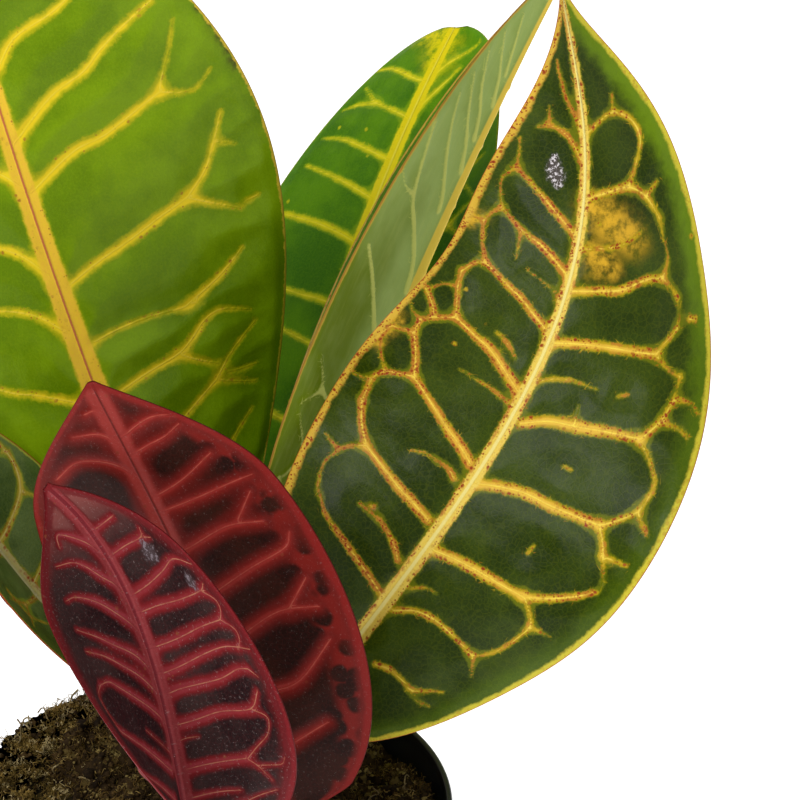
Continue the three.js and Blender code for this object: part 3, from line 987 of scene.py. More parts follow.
@dataclass
class Leaf:
    """One leaf: petiole and blade as a closed mesh, with its veins in relief (millimetres)."""

    place: str
    form: LeafForm
    veins: VeinPlan
    finish: LeafFinish
    grain: float = 0.7
    thickness: float = 0.55
    puff: float = 0.35
    puff_reach: float = 2.2
    petiole_rows: int = 22

    def _round_rows(self, centre: np.ndarray, left: np.ndarray, upward: np.ndarray, radius: np.ndarray,
                    count: int) -> np.ndarray:
        """Rows of a round section: count points over the top from left to right, then as many under it."""
        edge = math.pi / (2 * count)
        turn = np.linspace(edge, math.pi - edge, count)
        turn = np.concatenate([turn, -turn[::-1]])
        reach = radius[:, None, None]
        return (centre[:, None] + left[:, None] * np.cos(turn)[None, :, None] * reach
                + upward[:, None] * np.sin(turn)[None, :, None] * reach)

    def _petiole(self, count: int) -> np.ndarray:
        """The petiole, from the stem to the blade's foot.

        Args:
            count: points over the top of each row.

        Returns:
            Its rows of points.
        """
        form = self.form
        centre, radius = form.stem.at_height(form.node)
        base = np.array(form.base)
        outward = (base - centre) * np.array([1, 1, 0])
        outward /= np.linalg.norm(outward)
        start = centre + outward * (radius + 0.1)
        forward, left, _ = (vectors[0] for vectors in form.heading(np.zeros(1)))
        reach = np.linalg.norm(base - centre - outward * (radius + 0.9))
        first = start + outward * 0.3 * reach
        first[2] = start[2] + 0.1 * reach
        second = base - forward * 0.4 * reach
        s = np.linspace(0, 1, self.petiole_rows, endpoint=False)[:, None]
        r = 1 - s
        line = r ** 3 * start + 3 * r ** 2 * s * first + 3 * r * s ** 2 * second + s ** 3 * base
        along = 3 * r ** 2 * (first - start) + 6 * r * s * (second - first) + 3 * s ** 2 * (base - second)
        along /= np.linalg.norm(along, axis=1)[:, None]
        sideways = left[None] - along * (along @ left)[:, None]
        sideways /= np.linalg.norm(sideways, axis=1)[:, None]
        spread = (form.foot_radius - form.petiole_radius) * (1 - smooth_step(s[:, 0], 0.0, 0.4))
        knee = smooth_step(s[:, 0], 0.8, 1.0)
        swell = form.petiole_radius + spread + knee * (1 - knee)
        return self._round_rows(line, sideways, np.cross(along, sideways), swell, count)

    def build(self, view: PhotoView) -> bpy.types.Object:
        """Builds the leaf.

        Args:
            view: the photograph's camera, for the traced veins.

        Returns:
            The finished piece.
        """
        form = self.form
        count = max(24, int(round(sum(form.half) / self.grain)))
        count += 1 - count % 2
        steps = max(30, int(round(form.length / self.grain)))
        v = np.linspace(1, -1, count)
        t = np.linspace(0.0, 0.9975, steps)
        place, facing = form.surface(t, v)
        width = form.width(t[:, None], v[None, :])
        x = np.broadcast_to(t[:, None] * form.length, width.shape)
        y = v[None, :] * width
        edge = np.minimum((1 - abs(v[None, :])) * width, (1.0 - t[:, None]) * form.length * 0.7)
        middle = abs(y)
        near, far = self.veins.rib_width
        rib = middle - (near + (far - near) * t[:, None])
        found = self.veins.fields(form, view, x, y, rib, edge)
        core = found["core"]
        grown = smooth_step(t, 0.0, 0.12)[:, None]
        sunk = np.exp(-(np.minimum(core, middle) / self.puff_reach) ** 2)
        swollen = self.puff * (1 - sunk) * smooth_step(edge, 0.0, 4.0)
        top = place + facing * (swollen - 0.35 * np.exp(-(middle / 1.5) ** 2) * grown - 0.15)[..., None]
        thin = self.thickness * (0.45 + 0.55 * smooth_step(edge, 0.0, 1.5))
        keel = (1.5 * (1 - t[:, None]) + 0.25) * np.exp(-(middle / 1.25) ** 2)
        keel = keel + 0.32 * np.exp(-(core / 0.7) ** 2) * grown
        blade = np.concatenate([top, (top - facing * (thin + keel)[..., None])[:, ::-1]], 1)
        _, left, upward = form.heading(t)
        tube = self._round_rows(form.rib(t), left, upward, np.full(steps, form.petiole_radius), count)
        share = smooth_step(t, 0.0, 1.4 * form.first_station)[:, None, None]
        rows = np.concatenate([self._petiole(count), tube * (1 - share) + blade * share], 0)
        name, node = self.place + "_leaf", "leaf_" + self.place
        mesh = make_mesh(name, *close_rows(rows))
        found.update(rib=rib, middle=y, edge=edge, along=t[:, None] + 0 * x, across=v[None, :] + 0 * x)
        for key, values in found.items():
            store(mesh, key, self._spread(values, ON_PETIOLE[key]))
        self._store_places(mesh, x, y)
        return put_piece(name, mesh, self.finish.make(), [node])

    def _spread(self, values: np.ndarray, on_petiole: float) -> np.ndarray:
        """Carries a blade field to both faces, with a constant on the petiole, and to the two end points."""
        both = np.concatenate([values, values[:, ::-1]], 1)
        whole = np.vstack([np.full((self.petiole_rows, both.shape[1]), on_petiole), both])
        return np.concatenate([whole.ravel(), [on_petiole, float(values[-1].mean())]])

    def _store_places(self, mesh: bpy.types.Mesh, x: np.ndarray, y: np.ndarray) -> None:
        """Stores which face a point is on, and its place on the flattened leaf in millimetres.

        Args:
            mesh: the leaf's mesh.
            x: millimetres along the blade.
            y: millimetres across it.
        """
        steps, count = x.shape
        rows = steps + self.petiole_rows
        upper = np.zeros((rows, 2 * count))
        upper[:, :count] = 1.0
        upper[:self.petiole_rows] = 1.0
        store(mesh, "face", np.concatenate([upper.ravel(), [1.0, 1.0]]))
        back = np.linspace(-30, -1.0, self.petiole_rows)[:, None] + np.zeros((1, count))
        wide = np.linspace(2, -2, count)[None, :] + np.zeros((self.petiole_rows, 1))
        along, across = np.concatenate([back, x]), np.concatenate([wide, y])
        apart = 40.0 * self.veins.seed
        flat = np.stack([np.concatenate([along, along[:, ::-1]], 1).ravel(),
                         np.concatenate([across, across[:, ::-1]], 1).ravel(),
                         np.where(upper.ravel() > 0.5, apart, apart + 0.2)], 1)
        store(mesh, "flat", np.vstack([flat, flat[0], flat[-1]]))


# ---- Pot ----


@dataclass(frozen=True)
class PotPlastic:
    """Black moulded plastic, with faint rings and a little peat dust in its grain."""

    colour: Code = "14171c"
    dusty: Code = "24231f"
    roughness: float = 0.3
    shine: float = 0.5

    def make(self) -> bpy.types.Material:
        """The pot's material."""
        material, bench, shader = new_finish("pot_plastic")
        at = bench.object_place()
        fine = bench.grain(at, 900.0, 3, 0.6)
        smear = bench.grain(at, 60.0, 4, 0.65)
        dust = smear.rise(0.55, 0.8) * bench.grain(at, 1400.0, 2).rise(0.45, 0.7)
        split = bench.node("ShaderNodeSeparateXYZ", {}, {0: at})
        height = bench.wire(split, "Z")
        rings = (height * 2600.0).sine() * 0.0006
        colour = bench.blend(dust * 0.6, self.colour, self.dusty)
        rough = fine * 0.12 + dust * 0.3 + (self.roughness - 0.06)
        bench.dress(shader, colour, rough, fine * 0.03 + smear * 0.08 + rings, 0.6, self.shine)
        return material


@dataclass
class Pot:
    """The nursery pot: tapered wall, thicker lip, flat foot with a ring of drain holes (millimetres)."""

    height: float = 95.0
    rim_radius: float = 52.5
    base_radius: float = 37.0
    wall: float = 1.3
    floor: float = 2.0
    lip_height: float = 10.0
    lip_step: float = 1.2
    foot_disc: float = 15.0
    foot_ring: float = 31.0
    foot_recess: float = 1.0
    drain_holes: int = 8
    drain_radius: float = 3.5
    drain_circle: float = 24.0
    sides: int = 144
    drill_sides: int = 32
    drill_depth: float = 12.0
    sharp_angle: float = 50.0
    finish: PotPlastic = PotPlastic()

    def _profile(self, grown: GrownMesh) -> list[tuple[Number, Number]]:
        """The pot's outline, from under the foot, up the wall, and down its inside.

        Args:
            grown: the mesh whose named sizes it reads.

        Returns:
            Radius and height of each ring.
        """
        rim, base, height = grown.size("Rim radius"), grown.size("Base radius"), grown.size("Height")
        wall, step, lip = grown.size("Wall"), grown.size("Lip step"), grown.size("Lip height")
        floor = grown.size("Floor")
        taper = (rim - step - base) / height
        under = height - lip
        skirt = base + taper * under
        inner = rim - step - wall
        disc, ring, recess = self.foot_disc, self.foot_ring, self.foot_recess
        foot = [
            (0.0, 0.0), (disc - 0.2, 0.0), (disc, 0.15), (disc + 0.9, recess), (disc + 1.3, recess),
            (ring - 1.3, recess), (ring - 0.9, recess), (ring, 0.15), (ring + 0.2, 0.0), (base - 1.2, 0.0),
            (base - 0.3, 0.2)]
        outside = [
            (base + taper, 1.0), (base + taper * 1.6, 1.6), (skirt - taper * 0.4, under - 0.4),
            (skirt, under), (skirt + 0.25, under + 0.2), (skirt + step * 0.85, under + 0.85),
            (skirt + step, under + 1.1), (skirt + step + taper * 0.5, under + 1.6)]
        lip_edge = [
            (rim - 0.05, height - 1.0), (rim, height - 0.55), (rim - 0.12, height - 0.2), (rim - 0.4, height),
            (rim - 1.0, height), (rim - 1.3, height - 0.15), (rim - 1.42, height - 0.45),
            (rim - 1.45, height - 0.9), (rim - 1.75, height - 4.0)]
        inside = [
            (inner - taper * lip, height - lip), (base + taper * 5 - wall, floor + 3.0),
            (base - wall - 0.4, floor + 0.4), (base - wall - 1.2, floor), (0.0, floor)]
        return foot + outside + lip_edge + inside

    def build(self) -> bpy.types.Object:
        """Turns the profile by Geometry Nodes and drills the drain holes.

        Returns:
            The finished pot.
        """
        grown = GrownMesh("turned_pot", {
            "Rim radius": self.rim_radius, "Base radius": self.base_radius, "Height": self.height,
            "Wall": self.wall, "Floor": self.floor, "Lip height": self.lip_height, "Lip step": self.lip_step,
            "Drain radius": self.drain_radius, "Drain circle": self.drain_circle,
            "Drain holes": self.drain_holes, "Sides": self.sides,
        })
        bench = grown.bench
        profile = self._profile(grown)
        sides = grown.size("Sides")
        grid = bench.node("GeometryNodeMeshGrid", {}, {"Vertices X": len(profile), "Vertices Y": sides + 1})
        index = bench.wire(bench.node("GeometryNodeInputIndex"))
        ring = ((index + 0.5) / (sides + 1)).whole()
        turn = index.remainder(sides + 1) * (2 * math.pi) / sides
        radii = {k + 1: radius for k, (radius, _) in enumerate(profile)}
        heights = {k + 1: z for k, (_, z) in enumerate(profile)}
        chosen = []
        for values in (radii, heights):
            pick = bench.node(
                "GeometryNodeIndexSwitch", {"data_type": "FLOAT", "items": len(profile)}, {0: ring, **values})
            chosen.append(bench.wire(pick))
        radius, height = chosen
        spot = bench.node("ShaderNodeCombineXYZ", {}, {
            0: radius * turn.cosine() * MM, 1: radius * turn.sine() * MM, 2: height * MM})
        placed = bench.node("GeometryNodeSetPosition", {}, {0: grid.outputs[0], "Position": spot.outputs[0]})
        welded = bench.node("GeometryNodeMergeByDistance", {}, {0: placed.outputs[0], "Distance": 0.01 * MM})
        circle = bench.node("GeometryNodeMeshCircle", {}, {
            "Vertices": grown.size("Drain holes"), "Radius": grown.size("Drain circle") * MM})
        eighth = bench.node("GeometryNodeTransform", {}, {
            0: circle.outputs[0], "Rotation": (0.0, 0.0, math.pi / self.drain_holes)})
        drill = bench.node("GeometryNodeMeshCylinder", {}, {
            "Vertices": self.drill_sides, "Radius": grown.size("Drain radius") * MM,
            "Depth": self.drill_depth * MM})
        drills = bench.node(
            "GeometryNodeInstanceOnPoints", {}, {0: eighth.outputs[0], "Instance": drill.outputs[0]})
        solid = bench.node("GeometryNodeRealizeInstances", {}, {0: drills.outputs[0]})
        drilled = bench.node("GeometryNodeMeshBoolean", {"operation": "DIFFERENCE"}, {
            0: welded.outputs[0], 1: solid.outputs[0]})
        mesh = grown.finish(drilled.outputs[0], self.finish.make(), bpy.data.meshes.new("pot_start"))
        if mesh_volume(mesh) < 0:
            mesh.flip_normals()
        piece = put_piece("nursery_pot", mesh, None, ["pot"])
        mesh.set_sharp_from_angle(angle=math.radians(self.sharp_angle))
        return piece


# ---- Compost ----


@dataclass(frozen=True)
class PeatFinish:
    """Loose plant matter, its colour wandering between a dark and a light one."""

    name: str
    dark: Code
    light: Code
    tip: Code
    scale: float = 500.0
    roughness: float = 0.9
    shine: float = 0.1
    relief: float = 0.9

    def make(self) -> bpy.types.Material:
        """The material."""
        material, bench, shader = new_finish(self.name)
        at = bench.object_place()
        patch = bench.grain(at, self.scale * 0.25, 3, 0.6).rise(0.35, 0.65)
        fine = bench.grain(at, self.scale * 2, 3, 0.7)
        crumb, chance = bench.cells(at, self.scale * 0.9)
        colour = bench.blend(patch * 0.6 + fine.rise(0.4, 0.7) * 0.4, self.dark, self.light)
        colour = bench.blend(chance.above(0.8) * 0.6, colour, self.tip)
        rough = fine * 0.2 + (self.roughness - 0.1)
        bench.dress(shader, colour, rough, fine * 0.4 + crumb * 0.5, self.relief, self.shine)
        return material


@dataclass(frozen=True)
class Litter:
    """Crumbs or strands on a surface: how many to a square centimetre, and their sizes in millimetres."""

    name: str
    density: float
    size: tuple[float, float]
    finish: PeatFinish
    seed: int
    strand: bool = False
    lean: float = 1.0
    steps: int = 4
    tufts: float = 0.0

    def _crumb(self, bench: Bench) -> bpy.types.Node:
        """A rough ball, one unit across."""
        ball = bench.node("GeometryNodeMeshUVSphere", {}, {"Radius": 0.5, "Segments": 6, "Rings": 4})
        rough = bench.jitter(3.0, 0.9)
        return bench.node("GeometryNodeSetPosition", {}, {0: ball.outputs[0], "Offset": rough})

    def _strand(self, bench: Bench) -> bpy.types.Node:
        """A bent thread with three sides, about one unit long."""
        line = bench.node("GeometryNodeCurvePrimitiveBezierSegment", {}, {
            "Resolution": self.steps, "Start": (0.0, 0.0, 0.0), "Start Handle": (0.6, 0.1, 0.3),
            "End Handle": (-0.5, 0.5, 0.8), "End": (0.3, 0.5, 0.55)})
        ring = bench.node("GeometryNodeCurvePrimitiveCircle", {}, {"Resolution": 3, "Radius": 0.034})
        return bench.node(
            "GeometryNodeCurveToMesh", {}, {0: line.outputs[0], 1: ring.outputs[0], "Fill Caps": True})

    def scatter(self, base: bpy.types.Mesh) -> bpy.types.Object:
        """Scatters the crumbs or strands by Geometry Nodes, evenly or in tufts of a size in millimetres.

        Args:
            base: the surface that they lie on.

        Returns:
            The finished piece.
        """
        grown = GrownMesh(self.name, {
            "Density": self.density / CENTIMETRE ** 2, "Smallest": self.size[0] * MM,
            "Largest": self.size[1] * MM, "Seed": self.seed})
        bench, seed = grown.bench, grown.size("Seed")
        thick = grown.size("Density")
        if self.tufts:
            place = bench.node("GeometryNodeInputPosition").outputs[0]
            thick = thick * bench.grain(place, 1 / (self.tufts * MM)).rise(0.45, 0.56)
        spread = bench.node("GeometryNodeDistributePointsOnFaces", {}, {
            "Mesh": grown.base, "Density": thick, "Seed": seed})
        shape = self._strand(bench) if self.strand else self._crumb(bench)
        spin = bench.node("FunctionNodeRandomValue", {"data_type": "FLOAT_VECTOR"}, {
            0: (-self.lean, -self.lean, 0.0), 1: (self.lean, self.lean, 2 * math.pi), "Seed": seed + 1})
        tilt = bench.node("FunctionNodeRotateRotation", {"rotation_space": "LOCAL"}, {
            0: spread.outputs["Rotation"], 1: spin.outputs[0]})
        scale = bench.node("FunctionNodeRandomValue", {"data_type": "FLOAT"}, {
            "Min": grown.size("Smallest"), "Max": grown.size("Largest"), "Seed": seed + 2})
        grown_on = bench.node("GeometryNodeInstanceOnPoints", {}, {
            "Points": spread.outputs["Points"], "Instance": shape.outputs[0], "Rotation": tilt.outputs[0],
            "Scale": bench.wire(scale, "Value")})
        mesh = grown.finish(grown_on.outputs[0], self.finish.make(), base)
        return put_piece(self.name, mesh)


PEAT = PeatFinish("peat", "1a120a", "3c2c17", "6c5a30")
# Peat darkened to near black for the moss cushion: painted shade for the dark gaps between the moss tufts.
SHADED_PEAT = PeatFinish("shaded_peat", "0c0904", "2a2210", "4c3f1e")
CRUMB = PeatFinish("crumb", "251a0d", "544022", "a08c54", 900.0)
MOSS = PeatFinish("moss", "3c2f12", "a88a48", "e6d098", 700.0)
FIBRE = PeatFinish("fibre", "3c2d12", "7a5f2e", "b89a5a", 900.0)
ROOTLET = PeatFinish("rootlet", "6a5838", "94825a", "b4a47a", 900.0, 0.7)
ON_PEAT = (
    Litter("peat_crumbs", 50.0, (0.4, 1.5), CRUMB, 3),
    Litter("peat_clods", 4.0, (1.6, 3.2), PEAT, 4),
    Litter("peat_fibres", 116.0, (1.0, 3.4), FIBRE, 5, strand=True, lean=1.3, steps=5, tufts=7.0),
    Litter("pale_rootlets", 0.5, (3.0, 8.0), ROOTLET, 7, strand=True, lean=1.4, steps=7),
)
ON_MOSS = (
    Litter("moss_strands", 360.0, (1.0, 3.2), MOSS, 9, strand=True, lean=1.3, steps=5, tufts=6.0),
    Litter("moss_crumbs", 16.0, (0.5, 1.6), CRUMB, 11),
    Litter("moss_rootlets", 0.9, (4.0, 9.0), ROOTLET, 13, strand=True, lean=1.2, steps=7),
)
CLOUD = (0.8, 2.0, 4)  # fractal noise: how it fades, how it narrows, and how often


@dataclass
class Compost:
    """The peat that fills the pot, its mossy mound, its bank at the wall, and what lies on it (millimetres).

    The cushion's halves are half its length, half its width, and its height above and below its middle.
    """

    pot: Pot
    level: float = 86.0
    mound: tuple[float, float] = (-31.0, 30.0)
    mound_height: float = 12.0
    mound_spread: float = 17.0
    bank: tuple[float, float] = (47.0, 1.0)
    bank_height: float = 6.5
    bank_spread: float = 10.0
    cushion: tuple[float, float, float] = (-42.0, 20.8, 88.6)
    cushion_heading: tuple[float, float] = (-0.45, -0.89)
    cushion_halves: tuple[float, float, float, float] = (24.0, 14.0, 3.6, 2.5)
    cushion_rows: tuple[int, int] = (60, 120)
    gap: float = 0.3
    rings: int = 110
    sides: int = 260
    skirt: tuple[float, float, float] = (84.0, 60.0, 30.0)

    def surface(self, x: np.ndarray, y: np.ndarray) -> np.ndarray:
        """Height of the compost: the solid's own surface."""
        away = np.hypot(x - self.mound[0], y - self.mound[1]) / self.mound_spread
        heap = self.mound_height * np.exp(-0.5 * away ** 2)
        clods = 1.3 * np.sin(0.21 * x + 1) * np.cos(0.18 * y) + 0.8 * np.sin(0.47 * x - 0.31 * y + 2)
        return self.level + heap + clods

    def _lumps(self, x: np.ndarray, y: np.ndarray, z: np.ndarray) -> np.ndarray:
        """Clods, ridges and crumbs in the surface itself, in millimetres."""
        found = np.empty(x.size)
        for k, spot in enumerate(zip(x.ravel(), y.ravel(), z.ravel())):
            at = Vector(spot)
            clod = 2.0 * noise.fractal(at * 0.16, *CLOUD)
            ridge = 1.6 * (0.5 - abs(noise.noise(at * 0.55)))
            found[k] = clod + ridge + 0.5 * noise.noise(at * 1.7)
        return found.reshape(x.shape)

    def _inside(self, z: float) -> float:
        """The pot's inner radius at a height."""
        pot = self.pot
        return pot.base_radius + (pot.rim_radius - pot.lip_step - pot.base_radius) * z / pot.height - pot.wall

    def _turns(self) -> np.ndarray:
        """The angles of the points of a ring."""
        return np.linspace(0, 2 * math.pi, self.sides, endpoint=False)

    def _top(self) -> np.ndarray:
        """Rings of points over the compost."""
        reach = self._inside(self.level) - self.gap
        share = np.linspace(0, 1, self.rings + 1)[1:]
        radius = (reach * share)[:, None]
        x, y = radius * np.cos(self._turns()), radius * np.sin(self._turns())
        z = self.surface(x, y)
        away = np.hypot(x - self.bank[0], y - self.bank[1]) / self.bank_spread
        settle = 1 - 0.7 * smooth_step(radius / reach, 0.93, 1.0)
        z = z + self._lumps(x, y, z) * settle + self.bank_height * np.exp(-0.5 * away ** 2)
        return np.stack([x, y, z], -1)

    def _body(self, top: np.ndarray) -> bpy.types.Object:
        """The peat itself, closed down to the pot's floor."""
        turn = self._turns()
        skirts = []
        for z in (*self.skirt, self.pot.floor + self.gap):
            radius = self._inside(z) - self.gap
            skirts.append(np.stack([radius * np.cos(turn), radius * np.sin(turn), np.full_like(turn, z)], -1))
        rows = np.concatenate([top, np.array(skirts)], 0)
        mesh = make_mesh("peat_fill", *close_rows(rows))
        return put_piece("peat_fill", mesh, PEAT.make(), ["compost"])

    def _cushion(self) -> bpy.types.Object:
        """Builds the mossy plug that swells over the pot's lip at the back left.

        Returns:
            The finished piece.
        """
        centre = np.array(self.cushion)
        ahead, aside = self.cushion_heading
        along, outward = np.array([ahead, aside, 0.0]), np.array([aside, -ahead, 0.0])
        length, width, height, depth = self.cushion_halves
        bands, turns = self.cushion_rows
        polar = np.linspace(0, math.pi, bands + 1)[1:-1][:, None]
        around = np.linspace(0, 2 * math.pi, turns, endpoint=False)[None, :]
        a = np.sin(polar) * np.cos(around)
        b = np.sin(polar) * np.sin(around)
        c = np.cos(polar) + 0 * around
        places = (centre + along * (a * length)[..., None] + outward * (b * width)[..., None]
                  + np.array([0, 0, 1.0]) * (c * np.where(c > 0, height, depth))[..., None])
        flat = places.reshape(-1, 3)
        away = flat - centre
        away /= np.linalg.norm(away, axis=1)[:, None]
        for k, spot in enumerate(flat):
            at = Vector(spot)
            bulge = 3.2 * noise.fractal(at * 0.17, *CLOUD) + 2.2 * (0.4 - abs(noise.noise(at * 0.45)))
            flat[k] += away[k] * bulge
        over_lip = np.hypot(flat[:, 0], flat[:, 1]) > self._inside(self.pot.height) - 1.0
        flat[over_lip, 2] = np.maximum(flat[over_lip, 2], self.pot.height + 0.2)
        mesh = make_mesh("moss_cushion", *close_rows(flat.reshape(bands - 1, turns, 3)))
        # The cushion's near-black finish is painted shade between the moss tufts.
        return put_piece("moss_cushion", mesh, SHADED_PEAT.make())

    def build(self) -> list[bpy.types.Object]:
        """Builds the peat, the moss and everything that lies on them.

        Returns:
            The finished pieces.
        """
        top = self._top()
        body = self._body(top)
        cushion = self._cushion()
        sheet = bpy.data.meshes.new("peat_sheet")
        faces = ring_faces(*top.shape[:2])[:, ::-1]
        sheet.from_pydata((top.reshape(-1, 3) * MM).tolist(), [], faces.tolist())
        sheet.update()
        if sheet.polygons[0].normal.z < 0:
            sheet.flip_normals()
        on_peat = [litter.scatter(sheet) for litter in ON_PEAT]
        return [body, cushion] + on_peat + [litter.scatter(cushion.data) for litter in ON_MOSS]


# ---- Stems ----


@dataclass(frozen=True)
class BarkFinish:
    """Grey-brown bark at the foot that turns green towards the tip."""

    name: str
    bark: Code = "6f6250"
    crack: Code = "3a3023"
    green: Code = "6f7c2a"
    pore: Code = "b5a888"
    green_from: float = 100.0
    green_to: float = 150.0
    roughness: float = 0.5
    shine: float = 0.5

    def make(self) -> bpy.types.Material:
        """The stem's material."""
        material, bench, shader = new_finish(self.name)
        at = bench.object_place()
        height = bench.wire(bench.node("ShaderNodeSeparateXYZ", {}, {0: at}), "Z")
        drawn = bench.shift(at, (1.0, 1.0, 0.25), "MULTIPLY")
        streak = bench.grain(drawn, 900.0, 4, 0.65)
        mottle = bench.grain(at, 250.0, 3)
        spots, luck = bench.cells(at, 800.0)
        colour = bench.blend(streak.rise(0.4, 0.65), self.crack, self.bark)
        tender = (height + (mottle - 0.5) * 0.03).rise(self.green_from * MM, self.green_to * MM)
        colour = bench.blend(tender * 0.85, colour, self.green)
        colour = bench.blend(spots.fall(0.1, 0.25) * luck.above(0.7) * 0.5, colour, self.pore)
        relief = streak * 0.3 + mottle * 0.3
        bench.dress(shader, colour, streak * 0.2 + self.roughness, relief, 0.8, self.shine)
        return material


@dataclass
class Stem:
    """A woody shoot with the scars of its fallen leaves, grown along its centre line."""

    name: str
    node: str
    form: StemForm
    finish: BarkFinish

    def build(self) -> bpy.types.Object:
        """Grows the stem by Geometry Nodes.

        Returns:
            The finished piece.
        """
        form = self.form
        line = form.centre(np.linspace(0, 1, 90)) * MM
        path = bpy.data.meshes.new(self.name + "_path")
        path.from_pydata(line.tolist(), [(k, k + 1) for k in range(len(line) - 1)], [])
        grown = GrownMesh(self.name, {
            "Foot radius": form.foot * 0.96 * MM, "Tip radius": form.tip * 0.96 * MM, "Scars": form.scars,
            "Scar height": 0.1, "Seed": 4})
        bench = grown.bench
        curve = bench.node("GeometryNodeMeshToCurve", {}, {0: grown.base})
        share = bench.wire(bench.node("GeometryNodeSplineParameter"), "Factor")
        foot, tip = grown.size("Foot radius"), grown.size("Tip radius")
        narrow = foot + (tip - foot) * share ** 1.6
        swell = 1 - grown.size("Scar height") + grown.size("Scar height") * (
            (share * grown.size("Scars") * (2 * math.pi)).cosine() * 0.5 + 0.5) ** 3.0
        ring = bench.node("GeometryNodeCurvePrimitiveCircle", {}, {"Resolution": 28, "Radius": 1.0})
        tube = bench.node("GeometryNodeCurveToMesh", {}, {
            0: curve.outputs[0], 1: ring.outputs[0], "Scale": narrow * swell, "Fill Caps": True})
        worn = bench.node("GeometryNodeSetPosition", {}, {
            0: tube.outputs[0], "Offset": bench.jitter(350.0, 0.0008, 3.0)})
        mesh = grown.finish(worn.outputs[0], self.finish.make(), path)
        return put_piece(self.name, mesh, None, [self.node])


# ---- Studio ----


@dataclass
class Studio:
    """A pale floor, soft light and a camera as the photograph's (metres)."""

    view: PhotoView
    floor_reach: float = 6.0
    floor_tone: float = 0.93
    floor_glow: float = 0.7
    sky_glow: float = 0.42
    lamps_aim: tuple[float, float, float] = (0.0, 0.0, 0.16)

    def _floor(self) -> None:
        """The pale floor, which glows a little."""
        material, _, shader = new_finish("studio_floor")
        shader.inputs["Base Color"].default_value = (self.floor_tone, self.floor_tone, self.floor_tone, 1.0)
        shader.inputs["Roughness"].default_value = 0.9
        shader.inputs["Emission Color"].default_value = (1.0, 1.0, 1.0, 1.0)
        shader.inputs["Emission Strength"].default_value = self.floor_glow
        far = self.floor_reach
        mesh = bpy.data.meshes.new("studio_floor")
        corners = [(-far, -far, 0), (far, -far, 0), (far, far, 0), (-far, far, 0)]
        mesh.from_pydata(corners, [], [(0, 1, 2, 3)])
        mesh.materials.append(material)
        floor = bpy.data.objects.new("studio_floor", mesh)
        bpy.context.scene.collection.objects.link(floor)

    def _lamp(self, name: str, at: tuple[float, float, float], size: float, power: float) -> None:
        """Hangs a soft square lamp that looks at the plant.

        Args:
            name: its name.
            at: its place in metres.
            size: its side in metres.
            power: its power in watts.
        """
        light = bpy.data.lights.new(name, "AREA")
        light.size = size
        light.energy = power
        lamp = bpy.data.objects.new(name, light)
        lamp.location = Vector(at)
        aim = Vector(self.lamps_aim) - lamp.location
        lamp.rotation_mode = "QUATERNION"
        lamp.rotation_quaternion = aim.to_track_quat("-Z", "Y")
        bpy.context.scene.collection.objects.link(lamp)

    def _sky(self) -> None:
        """Even white light from all round."""
        world = bpy.data.worlds.new("studio_sky")
        world.use_nodes = True
        world.node_tree.nodes.clear()
        bench = Bench(world.node_tree)
        white = (1.0, 1.0, 1.0, 1.0)
        glow = bench.node("ShaderNodeBackground", {}, {"Color": white, "Strength": self.sky_glow})
        bench.node("ShaderNodeOutputWorld", {}, {"Surface": glow.outputs[0]})
        bpy.context.scene.world = world

    def _camera(self) -> None:
        """The camera at the photograph's angle."""
        data = bpy.data.cameras.new("photo_camera")
        data.lens = self.view.lens
        data.sensor_width = self.view.sensor
        data.clip_start = 0.05
        data.clip_end = 20.0
        camera = bpy.data.objects.new("photo_camera", data)
        back = Vector(self.view.axes()[2])
        camera.location = (Vector(self.view.target) + back * self.view.distance) * MM
        camera.rotation_mode = "QUATERNION"
        camera.rotation_quaternion = (-back).to_track_quat("-Z", "Y")
        bpy.context.scene.collection.objects.link(camera)
        bpy.context.scene.camera = camera

    def build(self) -> None:
        """Sets up the studio."""
        bpy.context.scene.view_settings.view_transform = "Standard"
        self._floor()
        self._sky()
        self._lamp("key_lamp", (-0.8, -0.6, 1.2), size=0.9, power=15.0)
        self._lamp("fill_lamp", (1.1, -0.8, 0.8), size=1.2, power=4.0)
        self._camera()


# ---- The plant's own values ----

STEM_MAIN = StemForm(((0, 3, 52), (0, 4, 90), (1, 6, 120), (0, 8, 142)), 5.0, 2.2, 7)
STEM_SIDE = StemForm(((5, -35, 56), (5, -35, 84), (4, -35, 104)), 3.8, 2.0, 4)

MID_GREEN = LeafFinish(
    "mid_green_leaf", lamina="5a7800", lamina_light="759404", halo="949a08", band="dcc01c",
    band_edge="aea60e", core="e4d050", rib="dcb034", rib_line="b4643a", margin="c8ac34", rim="9c8030",
    speck="a07020", stain="3e3214", glow="4a7a0c", glow_width=2.0, glow_shares=(0.1, 0.1), ragged=0.8,
    soft=0.4, hairs=0.8, core_share=0.4, rib_line_width=0.27, rim_width=0.2, specks=0.12, spots=0.16,
    roughness=0.36, veinlet=0.06, pores=0.15,
)
BRIGHT_GREEN = LeafFinish(
    "bright_green_leaf", lamina="386a04", lamina_light="5e8e02", halo="7c9c0a", band="dcd010",
    band_edge="b0b40e", core="e4d83a", rib="e0cc10", rib_line="e6d83a", margin="9ab014", rim="8a9418",
    speck="b0a414", stain="e2d20a", under_vein="c2bc5a", glow="5a9208", glow_width=3.0,
    glow_shares=(0.35, 0.35), ragged=0.6, soft=0.25, hairs=0.9, specks=0.1, spots=0.5,
    margin_widths=(0.35, 0.35), shine=0.08, veinlet=0.08, pores=0.15,
)
PALE_UNDERSIDE = LeafFinish(
    "pale_underside_leaf", lamina="3c5a12", lamina_light="4f7416", halo="7d9a1e", band="cdb832",
    band_edge="a8aa28", core="dccb5a", rib="eaca50", rib_line="d4bc4c", margin="bc9c38", rim="a87c30",
    speck="9a5a1e", under="667a00", under_sheen="94a858", under_vein="bec262", halo_width=1.0, ragged=0.3,
    soft=0.3, margin_widths=(0.6, 0.6), specks=0.2, shine=0.08, pores=0.2,
)
